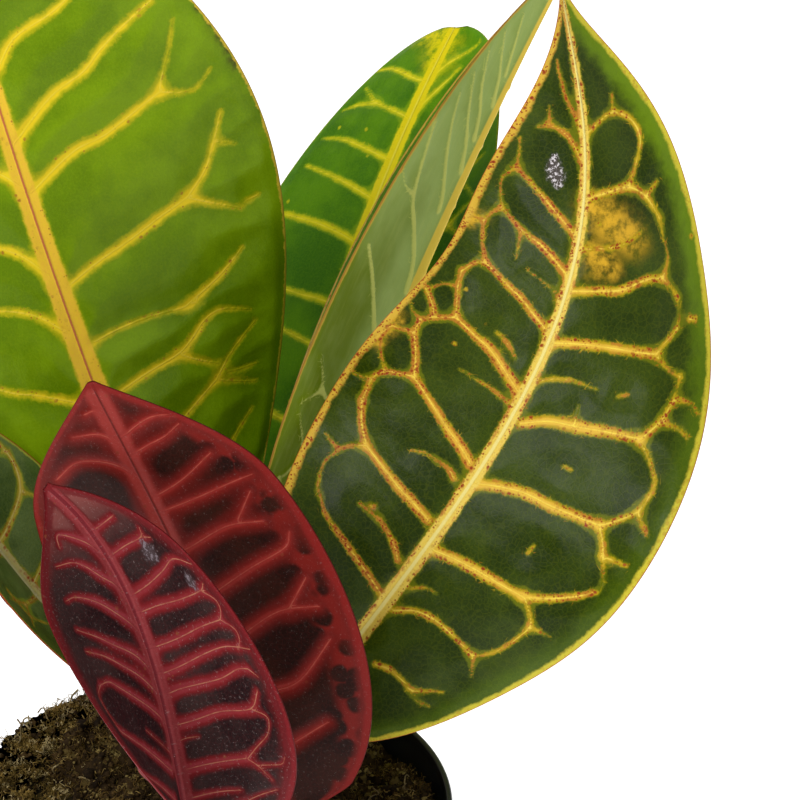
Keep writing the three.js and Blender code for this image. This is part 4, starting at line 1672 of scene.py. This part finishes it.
DARK_GREEN = LeafFinish(
    "dark_green_leaf", lamina="1f2e02", lamina_light="3a4a0c", halo="666c08", band="e0b83c",
    band_edge="ac9212", core="f2da50", rib="e0c454", rib_line="e6d680", margin="d0a838", rim="b4682a",
    speck="8e3414", glow="68840c", glow_width=7.5, glow_shares=(0.06, 0.85), glow_from=0.6, flush_and_sheen="cc8c2c",
    stain="dcaa2a", bloom="cfc8ca", halo_width=0.6, ragged=0.6, soft=0.26, hairs=1.1,
    margin_widths=(1.9, 1.4), margin_right="c6b834", rim_width=0.2, specks=0.85, rust=0.8, spots=0.12,
    roughness=0.38, veinlet=0.15, pores=0.6,
)
GREY_GREEN = LeafFinish(
    "grey_green_leaf", lamina="3c521e", lamina_light="6c7e46", halo="7f8c28", band="cdb24a",
    band_edge="b0a030", core="dccf84", rib="c2bb7c", rib_line="ccc594", margin="a8a83c", rim="a0481c",
    speck="a0481c", under_vein="c2bd84", glow="5c7c2a", glow_shares=(0.5, 0.2), halo_width=0.6, hairs=0.8,
    specks=0.6, rust=0.6, spots=0.15, veinlet=0.15,
)
MAROON = LeafFinish(
    "maroon_leaf", lamina="200e0a", lamina_light="33180f", halo="661a15", band="8c2a24", band_edge="781e18",
    core="b05a48", rib="90342e", rib_line="64201c", margin="7c1e1a", rim="641512", speck="7a3424",
    under="5a2426", under_sheen="5a2426", under_vein="8a3c36", glow="5c1612", glow_shares=(0.5, 0.6),
    halo_width=2.4, ragged=0.35, soft=0.9, hairs=0.5, core_width=0.12, core_share=0.6, rib_line_width=0.25,
    margin_widths=(1.4, 2.0), specks=0.08, spots=0.03, network=0.9, dust=0.35, roughness=0.44, shine=0.08,
    veinlet=0.1, pores=0.2, tip="661c18", tip_from=0.94,
)
# Its pinkish-grey tip colour is partly the tip's own crimson-pink and partly a painted greyish sheen.
CHARCOAL_ROSE = LeafFinish(
    "charcoal_rose_leaf", lamina="241517", lamina_light="40302e", halo="6a2124", band="8f3034",
    band_edge="7e2326", core="bc8062", rib="984244", bloom="82767c", rib_line="74262c", margin="7a2226",
    rim="681719", speck="8a4a34", under="5a2426", under_sheen="5a2426", under_vein="8a3c36", glow="661c1e",
    glow_width=6.5, glow_shares=(0.75, 0.8), flush_and_sheen="983f48", halo_width=1.0, soft=0.45, hairs=0.4,
    core_width=0.09, core_share=0.8, core_depth=0.4, rib_line_width=0.22, margin_widths=(1.2, 1.5),
    specks=0.06, spots=0.02, dust=1.0, roughness=0.42, shine=0.06, veinlet=0.12, pores=0.2, tip="94544f",
    tip_from=0.76,
)
YOUNG_GREEN = LeafFinish(
    "young_green_leaf", lamina="56860e", lamina_light="6fa01a", halo="92b82a", band="c6bf3a",
    band_edge="a8b030", core="d6d05a", rib="ccc65a", rib_line="d8d27a", margin="a8a43a", rim="908030",
    speck="a09030", under="7f9a4a", under_sheen="7f9a4a", ragged=0.2, margin_widths=(0.3, 0.3), specks=0.05,
    spots=0.05, roughness=0.32,
)

# Picture points run from a vein's root outwards. Those left of or above the picture carry its veins on
# beyond it.
TALL_LEFT_VEINS = VeinPlan(Traces(right=(
    vein((-2, 68), (15, 38), (50, 15), (72, -8), w=(1.4, 1.3, 0.8)),
    vein((14, 145), (50, 98), (82, 72), (100, 50), (122, 28), (150, 0), w=(1.7, 1.3, 1.2, 0.8)),
    vein((32, 192), (72, 152), (105, 135), (140, 108), (160, 92), w=(1.6, 1.4, 1.1)),
    vein((160, 92), (163, 75), (168, 50), (172, 20), w=(0.9, 0.4, 0.15)),
    vein((160, 91), (180, 92), (198, 87), (210, 68), w=(0.9, 0.5, 0.15)),
    vein((70, 285), (100, 262), (130, 240), (160, 218), (188, 197), w=(1.2, 1.4, 1.5, 1.5)),
    vein((188, 197), (205, 170), (212, 145), (221, 110), w=(1.2, 0.9, 0.5)),
    vein((216, 142), (236, 143), w=(0.6, 0.15)),
    vein((188, 197), (215, 203), (242, 208), w=(1.2, 0.9, 0.3)),
    vein((248, 200), (258, 194), w=(0.6, 0.5)),
    vein((95, 342), (120, 328), (150, 316), (180, 308), (195, 302), w=(0.9, 0.7, 0.6, 0.9)),
    vein((188, 305), (215, 282), (230, 265), (242, 247), w=(1.4, 1.2, 0.35)),
    vein((120, 392), (150, 372), (178, 354), (192, 338), (205, 320), (222, 309),
         (252, 309), w=(1.1, 1.2, 1.3, 1.2, 0.8, 0.2)),
    vein((178, 354), (200, 360), (218, 363), w=(1.2, 0.9, 0.4)),
    vein((230, 372), (244, 368), (256, 362), w=(0.2, 0.35, 0.15)),
), left=(
    vein((20, 186), (0, 174), (-40, 160), (-85, 120), w=(1.5, 1.2, 0.4)),
    vein((50, 276), (25, 258), (0, 248), (-50, 232), (-95, 190), w=(1.5, 1.2, 0.9, 0.3)),
    vein((68, 332), (40, 318), (15, 312), (-30, 308), (-80, 275), w=(1.3, 1.0, 0.8, 0.3)),
    vein((84, 404), (38, 396), (12, 392), (-30, 380), (-75, 345), w=(1.2, 0.9, 0.8, 0.3)),
    vein((-12, 120), (-40, 90), (-75, 50), w=(1.3, 1.0, 0.3)),
)), stains=Traces(right=(
    vein((203, 4), (216, 24), (230, 52), (236, 68), w=(1.4, 1.8, 1.7, 1.1)),
)),
    ruled_left=(0.12, 0.2, 0.28, 0.8, 0.88), ruled_right=(0.1, 0.19, 0.28, 0.88), lean=0.05, root_width=1.3,
    rib_width=(4.2, 1.2), web=0.7, seed=2)
LOW_LEFT_VEINS = VeinPlan(Traces(right=(
    vein((-12, 552), (0, 541), (9, 524), (21, 491), (14, 463), (0, 444), w=(0.9, 0.9, 0.8, 0.5)),
    vein((21, 491), (36, 496), w=(0.5, 0.3)),
), left=(
    vein((8, 590), (21, 605), (34, 618), (57, 626), w=(0.5, 0.4, 0.15)),
)),
    ruled_left=(0.12, 0.22, 0.45, 0.57, 0.70, 0.82), ruled_right=(0.12, 0.24, 0.36, 0.47, 0.70, 0.82),
    root_width=0.7, rib_width=(2.2, 0.9), seed=3)
BACK_CENTRE_VEINS = VeinPlan(Traces(right=(
    vein((428, 80), (450, 62), (480, 40), w=(0.9, 0.7, 0.3)),
    vein((418, 108), (438, 88), (460, 68), w=(0.9, 0.7, 0.3)),
), left=(
    vein((432, 84), (415, 78), (393, 69), (377, 70), w=(0.9, 0.9, 0.5)),
    vein((418, 124), (404, 115), (375, 102), w=(1.0, 0.9, 0.6)),
    vein((375, 102), (366, 88), w=(0.6, 0.3)),
    vein((375, 103), (358, 105), (342, 110), w=(0.7, 0.7, 0.2)),
    vein((400, 166), (386, 158), (346, 140), (322, 138), w=(1.1, 1.0, 0.25)),
    vein((388, 208), (373, 199), (339, 179), (306, 165), w=(1.2, 1.1, 0.5)),
    vein((365, 252), (350, 239), (317, 223), (285, 214), w=(1.3, 1.2, 1.0)),
    vein((340, 312), (324, 301), (300, 294), (270, 284), w=(1.2, 1.0, 0.7)),
    vein((325, 352), (305, 340), (280, 328), w=(1.0, 0.7)),
)), stains=Traces(left=(
    vein((438, 66), (441, 52), (440, 36), (425, 34), w=(4.0, 6.0, 4.0)),
)),
    ruled_left=(0.12, 0.2, 0.29), ruled_right=(0.12, 0.22, 0.32, 0.42, 0.52, 0.61, 0.69),
    rib_width=(2.6, 1.7), seed=4)
EDGE_ON_VEINS = VeinPlan(Traces(right=(
    vein((372, 340), (371, 312), (369, 275), (366, 245), w=(0.85, 0.5)),
    vein((404, 290), (411, 262), (411, 225), (411, 195), (426, 140), (434, 118), w=(0.9, 0.7, 0.3)),
    vein((409, 192), (402, 185), (400, 170), w=(0.4, 0.15)),
    vein((436, 210), (440, 195), (444, 155), (450, 120), (457, 92), w=(0.9, 0.6, 0.3)),
    vein((458, 170), (463, 145), (466, 112), (472, 72), w=(0.9, 0.6, 0.3)),
    vein((472, 138), (477, 115), (480, 82), (486, 50), w=(0.9, 0.6, 0.3)),
    vein((490, 104), (496, 80), (499, 57), (502, 31), w=(0.8, 0.5, 0.25)),
    vein((503, 74), (512, 42), (520, 15), w=(0.6, 0.25)),
)),
    ruled_left=(0.14, 0.24, 0.34, 0.44, 0.54, 0.64, 0.73, 0.82), ruled_right=(0.12, 0.21, 0.3),
    root_width=0.75, rib_width=(3.1, 1.0), seed=5)
FRONT_RIGHT_VEINS = VeinPlan(Traces(right=(
    vein((584, 137), (600, 122), (613, 112), (630, 118), (640, 135), (638, 155),
         (628, 188), w=(0.5, 0.65, 0.4)),
    vein((584, 200), (605, 193), (628, 188), (645, 196), (660, 217), w=(0.9, 0.9, 0.45)),
    vein((613, 112), (612, 94), w=(0.3, 0.1)),
    vein((646, 196), (658, 180), w=(0.45, 0.3)),
    vein((585, 250), (608, 248), (625, 243), (640, 233), w=(0.5, 0.6, 0.3)),
    vein((573, 292), (600, 292), (622, 289), (645, 280), (663, 277), w=(0.95, 1.0, 0.7)),
    vein((663, 277), (671, 287), (677, 297), w=(0.4, 0.3)),
    vein((660, 217), (664, 240), (668, 258), (663, 277), w=(0.2, 0.1, 0.3)),
    vein((677, 297), (679, 312), (677, 328), w=(0.2, 0.1, 0.2)),
    vein((553, 343), (580, 344), (610, 348), (640, 353), (656, 354), w=(1.2, 1.15, 0.8)),
    vein((656, 354), (668, 340), (677, 328), w=(0.55, 0.4)),
    vein((657, 356), (668, 370), (680, 376), w=(0.4, 0.3)),
    vein((680, 376), (676, 390), (673, 402), w=(0.2, 0.15)),
    vein((540, 381), (556, 379), (575, 381), (598, 389), w=(0.5, 0.5, 0.12)),
    vein((521, 423), (550, 421), (580, 427), (610, 433), (640, 439), w=(1.2, 1.45, 0.9)),
    vein((640, 439), (655, 428), (663, 420), (675, 401), (690, 404), (698, 413), w=(0.8, 0.6, 0.15)),
    vein((663, 421), (678, 428), (688, 437), w=(0.45, 0.25)),
    vein((638, 441), (647, 455), (654, 478), (652, 492), (638, 512), w=(0.5, 0.45, 0.55)),
    vein((575, 424), (579, 406), w=(0.3, 0.08)),
    vein((476, 484), (500, 486), (525, 494), (550, 505), (575, 516), (598, 525), w=(1.4, 1.35, 1.0)),
    vein((598, 525), (615, 521), (638, 512), w=(0.8, 0.6)),
    vein((638, 512), (643, 525), (648, 537), w=(0.5, 0.3)),
    vein((598, 526), (602, 542), (603, 560), (603, 584), w=(0.75, 0.7, 0.2)),
    vein((603, 557), (615, 562), (626, 567), w=(0.7, 0.3)),
    vein((433, 551), (450, 558), (475, 570), (500, 585), (522, 597), w=(1.4, 1.35, 1.1)),
    vein((522, 597), (545, 598), (575, 596), (597, 592), w=(1.0, 0.9, 0.5)),
    vein((524, 599), (529, 615), (529, 628), (515, 640), (493, 653), (474, 656), w=(0.55, 0.6, 0.3)),
    vein((529, 628), (550, 636), w=(0.45, 0.1)),
    vein((393, 611), (415, 611), (435, 620), (452, 635), (472, 656), w=(0.7, 0.8, 0.55)),
    vein((472, 656), (473, 668), (471, 677), w=(0.4, 0.12)),
    vein((410, 588), (425, 588), (436, 593), w=(0.35, 0.08)),
    vein((375, 664), (390, 670), (405, 683), (412, 690), (430, 691), (443, 693), w=(0.7, 0.6, 0.15)),
    vein((412, 690), (416, 700), (430, 707), w=(0.12, 0.08)),
    vein((528, 552), (534, 547), w=(0.5, 0.3)),
    vein((564, 467), (570, 470), w=(0.35, 0.3)),
    vein((618, 396), (628, 394), w=(0.3, 0.4)),
    vein((688, 319), (695, 318), w=(0.5, 0.7)),
), left=(
    vein((580, 125), (567, 100), (561, 80), (557, 60), w=(0.35, 0.2)),
    vein((581, 160), (572, 142), (562, 132), (550, 126), (538, 127), w=(0.5, 0.6, 0.2)),
    vein((549, 124), (549, 107), w=(0.35, 0.1)),
    vein((575, 235), (562, 220), (550, 206), (537, 190), (517, 168), w=(0.85, 0.9, 0.35)),
    vein((517, 168), (503, 177), (500, 190), (501, 206), w=(0.2, 0.12, 0.2)),
    vein((517, 168), (519, 150), (520, 138), w=(0.12, 0.08)),
    vein((567, 275), (553, 258), (540, 245), (522, 230), (501, 207), w=(1.0, 0.95, 0.35)),
    vein((520, 232), (516, 258), w=(0.3, 0.1)),
    vein((501, 207), (490, 213), (484, 221), (482, 240), (485, 262), w=(0.3, 0.4, 0.5)),
    vein((484, 221), (472, 215), w=(0.3, 0.2)),
    vein((549, 334), (535, 316), (520, 297), (508, 285), (485, 262), w=(1.0, 1.0, 0.75)),
    vein((485, 262), (475, 262), (461, 270), w=(0.5, 0.6)),
    vein((558, 298), (548, 285), (527, 270), w=(0.18, 0.1)),
    vein((496, 332), (507, 343), (516, 358), w=(0.25, 0.6, 0.15)),
    vein((521, 397), (505, 372), (490, 350), (475, 335), (456, 317), w=(1.4, 1.3, 0.8)),
    vein((461, 270), (458, 285), (457, 300), (456, 317), w=(0.6, 0.65, 0.7)),
    vein((456, 317), (445, 318), (435, 317), (420, 319), w=(0.5, 0.6, 0.35)),
    vein((435, 317), (431, 302), (424, 285), w=(0.9, 0.8, 0.7)),
    vein((420, 319), (412, 310), (410, 302), w=(0.25, 0.15)),
    vein((457, 286), (443, 283), (430, 288), w=(0.22, 0.25)),
    vein((420, 320), (415, 333), (416, 355), (414, 376), w=(0.5, 0.9, 0.9)),
    vein((414, 332), (400, 328), (390, 326), (376, 338), w=(0.5, 0.6, 1.1)),
    vein((385, 371), (380, 352), (380, 340), w=(0.4, 0.25)),
    vein((507, 403), (497, 393), (486, 385), (460, 370), w=(0.5, 0.4, 0.08)),
    vein((470, 463), (460, 447), (445, 425), (430, 400), (413, 376), w=(1.4, 1.25, 0.85)),
    vein((413, 376), (400, 373), (385, 372), (372, 378), (362, 398), w=(0.7, 0.6, 0.75)),
    vein((372, 378), (355, 374), (352, 368), w=(0.2, 0.1)),
    vein((428, 520), (413, 503), (400, 490), (385, 470), (366, 446), w=(1.2, 1.3, 1.0)),
    vein((366, 446), (362, 425), (361, 400), w=(1.0, 0.9)),
    vein((366, 446), (352, 446), (338, 448), (330, 438), (325, 433), w=(0.5, 0.4, 0.1)),
    vein((337, 450), (323, 465), (318, 490), w=(0.12, 0.3)),
    vein((453, 478), (447, 468), (437, 460), w=(0.9, 0.6, 0.15)),
    vein((437, 460), (425, 453), (410, 450), w=(0.1, 0.25)),
    vein((398, 560), (395, 548), (388, 533), (379, 520), w=(0.7, 0.7, 0.3)),
    vein((379, 520), (370, 512), (359, 504), w=(0.12, 0.08)),
    vein((370, 506), (373, 507), w=(0.55, 0.55)),
    vein((383, 597), (373, 582), (362, 565), (345, 542), (325, 515), (320, 495), w=(0.8, 0.8, 0.2)),
)), stains=Traces(right=(
    vein((590, 204), (602, 214), (616, 228), (632, 238), w=(3.4, 5.2, 4.2)),
    vein((588, 250), (600, 262), (612, 270), w=(3.0, 4.4, 2.6)),
), left=(
    vein((470, 222), (478, 216), w=(2.0, 2.6)),
    vein((400, 318), (388, 328), (378, 342), w=(2.0, 2.6, 2.0)),
)), blooms=Traces(left=(
    vein((555, 156), (554, 166), (556, 176), (559, 186), w=(0.7, 1.5, 1.9, 0.9)),
)), ruled_left=(0.12,), root_width=0.6, rib_width=(2.1, 0.85), seed=6)
RED_UPPER_VEINS = VeinPlan(Traces(right=(
    vein((120, 512), (152, 498), (182, 480), (210, 454), w=(0.9, 0.8, 0.5)),
    vein((128, 530), (156, 515), (196, 498), (236, 481), (252, 474), w=(0.8, 0.8, 0.4)),
    vein((160, 560), (189, 548), (226, 527), (262, 521), w=(1.0, 1.0, 0.7)),
    vein((238, 520), (250, 492), w=(0.7, 0.5)),
    vein((185, 610), (212, 595), (250, 569), (285, 548), (289, 532), w=(1.1, 1.0, 0.6)),
    vein((215, 650), (241, 635), (278, 612), (318, 607), w=(1.1, 1.0, 0.6)),
    vein((288, 610), (305, 578), w=(0.8, 0.5)),
    vein((240, 705), (271, 692), (300, 680), (330, 640), w=(1.1, 1.0, 0.6)),
    vein((262, 760), (292, 744), (328, 722), w=(1.0, 0.6)),
    vein((120, 440), (138, 425), (152, 417), (170, 415), w=(0.9, 0.8, 0.6)),
    vein((128, 457), (148, 446), (165, 436), (178, 424), w=(0.8, 0.7, 0.5)),
), left=(
    vein((152, 500), (142, 480), (113, 465), (78, 463), (56, 480), w=(0.9, 0.9, 0.6)),
    vein((125, 448), (100, 435), (72, 438), w=(0.8, 0.8, 0.5)),
    vein((112, 420), (95, 412), (85, 415), w=(0.7, 0.6)),
)),
    ruled_left=(0.12, 0.22, 0.33, 0.45, 0.56, 0.67), root_width=1.1, rib_width=(1.9, 2.4), patch_web=1.2,
    patch_margin=2.0, swell=1.45, seed=7)
RED_LOWER_VEINS = VeinPlan(Traces(right=(
    vein((76, 532), (91, 531), (112, 516), w=(0.7, 0.5)),
    vein((108, 557), (125, 546), (140, 537), (139, 528), w=(0.8, 0.7, 0.3)),
    vein((140, 537), (150, 538), w=(0.3, 0.15)),
    vein((131, 596), (147, 585), (162, 571), (172, 559), (190, 564), w=(0.9, 0.8, 0.6, 0.3)),
    vein((137, 614), (157, 606), (180, 600), (200, 591), (202, 584), w=(0.9, 0.8, 0.6, 0.2)),
    vein((200, 591), (215, 600), (220, 610), (220, 620), w=(0.5, 0.3, 0.4)),
    vein((151, 649), (175, 640), (200, 627), (220, 620), w=(0.9, 0.8, 0.5)),
    vein((220, 620), (235, 630), (239, 642), (237, 647), w=(0.4, 0.3)),
    vein((159, 675), (180, 666), (205, 654), (225, 647), (249, 650), w=(0.9, 0.8, 0.7, 0.5, 0.2)),
    vein((164, 696), (180, 689), (200, 684), (220, 679), (237, 670), (247, 669), w=(1.0, 0.8, 0.5)),
    vein((247, 669), (257, 677), w=(0.3, 0.15)),
    vein((172, 727), (195, 720), (220, 712), (250, 709), (257, 692), w=(1.0, 0.9, 0.7, 0.4)),
    vein((250, 709), (266, 717), (269, 727), (266, 736), (257, 747), (247, 759), w=(0.4, 0.2, 0.1, 0.2, 0.4)),
    vein((180, 741), (187, 738), (197, 737), w=(0.15, 0.1)),
    vein((182, 771), (202, 766), (225, 761), (246, 759), w=(1.0, 0.9, 0.7)),
    vein((246, 759), (257, 766), (272, 780), w=(0.4, 0.15)),
    vein((257, 766), (280, 765), (284, 758), w=(0.2, 0.1)),
    vein((186, 800), (215, 793), (240, 790), w=(0.6, 0.3)),
), left=(
    vein((107, 557), (85, 542), (62, 535), (57, 537), (60, 548), w=(0.8, 0.7, 0.4, 0.2)),
    vein((126, 596), (117, 585), (102, 577), (85, 566), (72, 562), (57, 566), w=(0.8, 0.7, 0.5, 0.3)),
    vein((140, 630), (122, 617), (97, 602), (77, 597), (67, 601), w=(0.8, 0.7, 0.3)),
    vein((151, 670), (135, 655), (115, 645), (97, 636), (77, 630), w=(0.8, 0.7, 0.3)),
    vein((157, 691), (140, 676), (122, 665), (105, 656), (87, 651), w=(0.7, 0.6, 0.3)),
    vein((164, 720), (150, 707), (135, 697), (120, 687), (110, 682), (101, 685), w=(0.8, 0.7, 0.3)),
    vein((101, 685), (100, 695), (107, 710), (120, 730), w=(0.3, 0.2, 0.3)),
    vein((172, 770), (157, 757), (140, 744), (120, 730), w=(0.9, 0.7, 0.5)),
    vein((170, 752), (160, 742), (147, 730), w=(0.2, 0.1)),
    vein((176, 800), (160, 785), (142, 772), w=(0.8, 0.4)),
)), blooms=Traces(right=(
    vein((144, 545), (150, 552), (155, 556), w=(0.7, 1.3, 0.6)),
    vein((189, 577), (192, 583), w=(0.6, 0.9)),
)),
    ruled_left=(0.12,), ruled_right=(0.1,), root_width=0.5, rib_width=(2.2, 1.5), patch_web=0.6,
    patch_margin=2.6, swell=1.7, seed=8)


def hidden_veins(seed: int, root_width: float = 0.95) -> VeinPlan:
    """Side veins of a leaf that the photograph hides, all by rule."""
    starts = (0.12, 0.21, 0.30, 0.39, 0.48, 0.57, 0.66, 0.75, 0.84)
    later = tuple(start + 0.03 for start in starts)
    return VeinPlan(ruled_left=starts, ruled_right=later, root_width=root_width, seed=seed)


def the_leaves() -> list[Leaf]:
    """Every leaf of the plant, with the same values as its solid.

    Returns:
        The leaves, those of the photograph first.
    """
    return [
        Leaf("tall_left", LeafForm(
            STEM_MAIN, node=100, base=(-5, 31, 106), length=212, azimuth=(162, 141), rise=(69, 74),
            roll=(-18, -44), bend=1.15, half=(59, 59), widest=0.57, fullness=0.95,
            fold=(-20, -20, 4, 4), curl=(5, 4)),
            TALL_LEFT_VEINS, MID_GREEN, grain=0.82, puff=1.3, puff_reach=6.0),
        Leaf("low_left", LeafForm(
            STEM_MAIN, node=94, base=(-9, 6, 108), length=116, azimuth=(171, 174), rise=(39, 71),
            roll=(-2, -11), bend=0.95, half=(25, 24), widest=0.52, fullness=1.25, fold=(24, 24, 19, 19),
            curl=(0, 5)),
            LOW_LEFT_VEINS, GREY_GREEN, grain=0.6),
        Leaf("back_centre", LeafForm(
            STEM_MAIN, node=112, base=(6, 47, 117), length=163, azimuth=(70, 60), rise=(61, 32),
            roll=(4, -15), bend=0.95, half=(38, 38), widest=0.47, fullness=0.4, fold=(-9, -9, -23, -23),
            curl=(-3, 52)),
            BACK_CENTRE_VEINS, BRIGHT_GREEN, grain=0.75),
        Leaf("edge_on", LeafForm(
            STEM_MAIN, node=106, base=(9, 17, 125), length=183, azimuth=(54, 56), rise=(56, 38),
            roll=(-65, -55), bend=1.05, half=(28, 28), widest=0.42, fullness=0.55,
            fold=(40, 40, 33, 33), curl=(5, 3)),
            EDGE_ON_VEINS, PALE_UNDERSIDE, grain=0.65),
        Leaf("front_right", LeafForm(
            STEM_MAIN, node=103, base=(13, -11, 122), length=194, azimuth=(23, 165), rise=(49, 81),
            roll=(67, 14), bend=3.0, half=(39, 44), widest=0.4, fullness=0.8, drawn_tip=0.2,
            fold=(27, -52, 11, 15), curl=(-7, 2), ripple=Ripple(-10.5, 2.15, 220)),
            FRONT_RIGHT_VEINS, DARK_GREEN, grain=0.62, puff=0.7, puff_reach=4.0),
        Leaf("red_upper", LeafForm(
            STEM_SIDE, node=97, base=(15, -27, 107), length=119, azimuth=(149, 204), rise=(68, 69),
            roll=(-70, -122), bend=2.1, half=(36, 35), widest=0.47, fullness=0.5, drawn_tip=0.7,
            fold=(3, 3, -12, -12), curl=(-3, 9)),
            RED_UPPER_VEINS, MAROON, grain=0.5),
        Leaf("red_lower", LeafForm(
            STEM_SIDE, node=93, base=(-6, -45, 113), length=93, azimuth=(124, 154), rise=(78, 27),
            roll=(-2, -70), bend=2.1, half=(33, 32), widest=0.41, fullness=0.5, drawn_tip=0.55,
            fold=(66, 26, 22, 20), curl=(51, 35)),
            RED_LOWER_VEINS, CHARCOAL_ROSE, grain=0.45),
        Leaf("low_back_right", LeafForm(
            STEM_MAIN, node=93, base=(20, 20, 103), length=128, azimuth=(54, 44), rise=(30, -12),
            roll=(4, -6), bend=1.0, half=(30, 30), widest=0.46, fullness=0.7, drawn_tip=0.3,
            fold=(14, 6, 14, 6), curl=(-12, -12), ripple=Ripple(2, 2.5, 40)),
            hidden_veins(11), DARK_GREEN, grain=0.9),
        Leaf("low_back", LeafForm(
            STEM_MAIN, node=90, base=(3, 36, 101), length=126, azimuth=(90, 96), rise=(24, -20),
            roll=(-5, 6), bend=1.0, half=(27, 27), widest=0.48, fullness=0.65, drawn_tip=0.3,
            fold=(12, 5, 12, 5), curl=(-14, -14), ripple=Ripple(2, 2, 120)),
            hidden_veins(12), BRIGHT_GREEN, grain=0.9),
        Leaf("low_back_left", LeafForm(
            STEM_MAIN, node=95, base=(-12, 25, 102), length=112, azimuth=(124, 116), rise=(24, -10),
            roll=(-4, 8), bend=1.0, half=(25, 25), widest=0.45, fullness=0.7, drawn_tip=0.4,
            fold=(15, 6, 15, 6), curl=(-10, -10), ripple=Ripple(2, 2.5, 200)),
            hidden_veins(13, 1.1), MAROON, grain=0.9),
        Leaf("young_left", LeafForm(
            STEM_MAIN, node=134, base=(-5, 9, 146), length=42, azimuth=(196, 184), rise=(78, 66),
            roll=(0, 0), bend=1.0, half=(8, 8), widest=0.45, fullness=0.9, drawn_tip=0.2,
            fold=(32, 20, 32, 20), curl=(8, 8)),
            hidden_veins(14, 0.35), YOUNG_GREEN, grain=0.4, thickness=0.5, puff=0.15),
        Leaf("young_right", LeafForm(
            STEM_MAIN, node=138, base=(4, 12, 148), length=30, azimuth=(70, 84), rise=(80, 72),
            roll=(0, 0), bend=1.0, half=(6, 6), widest=0.42, fullness=0.9, drawn_tip=0.2,
            fold=(38, 26, 38, 26), curl=(8, 8)),
            hidden_veins(15, 0.3), YOUNG_GREEN, grain=0.4, thickness=0.5, puff=0.12),
    ]


def main() -> None:
    """Builds the plant and its studio."""
    logging.basicConfig(level=logging.INFO, format="%(name)s: %(message)s")
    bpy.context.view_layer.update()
    view = PhotoView()
    Studio(view).build()
    LOG.info("studio ready")
    pot = Pot()
    pot.build()
    Compost(pot).build()
    Stem("main_stem", "stem_main", STEM_MAIN, BarkFinish("main_bark")).build()
    side_bark = BarkFinish("side_bark", green_from=88.0, green_to=104.0)
    Stem("side_stem", "stem_side", STEM_SIDE, side_bark).build()
    for leaf in the_leaves():
        leaf.build(view)
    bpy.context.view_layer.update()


if __name__ == "__main__":
    main()
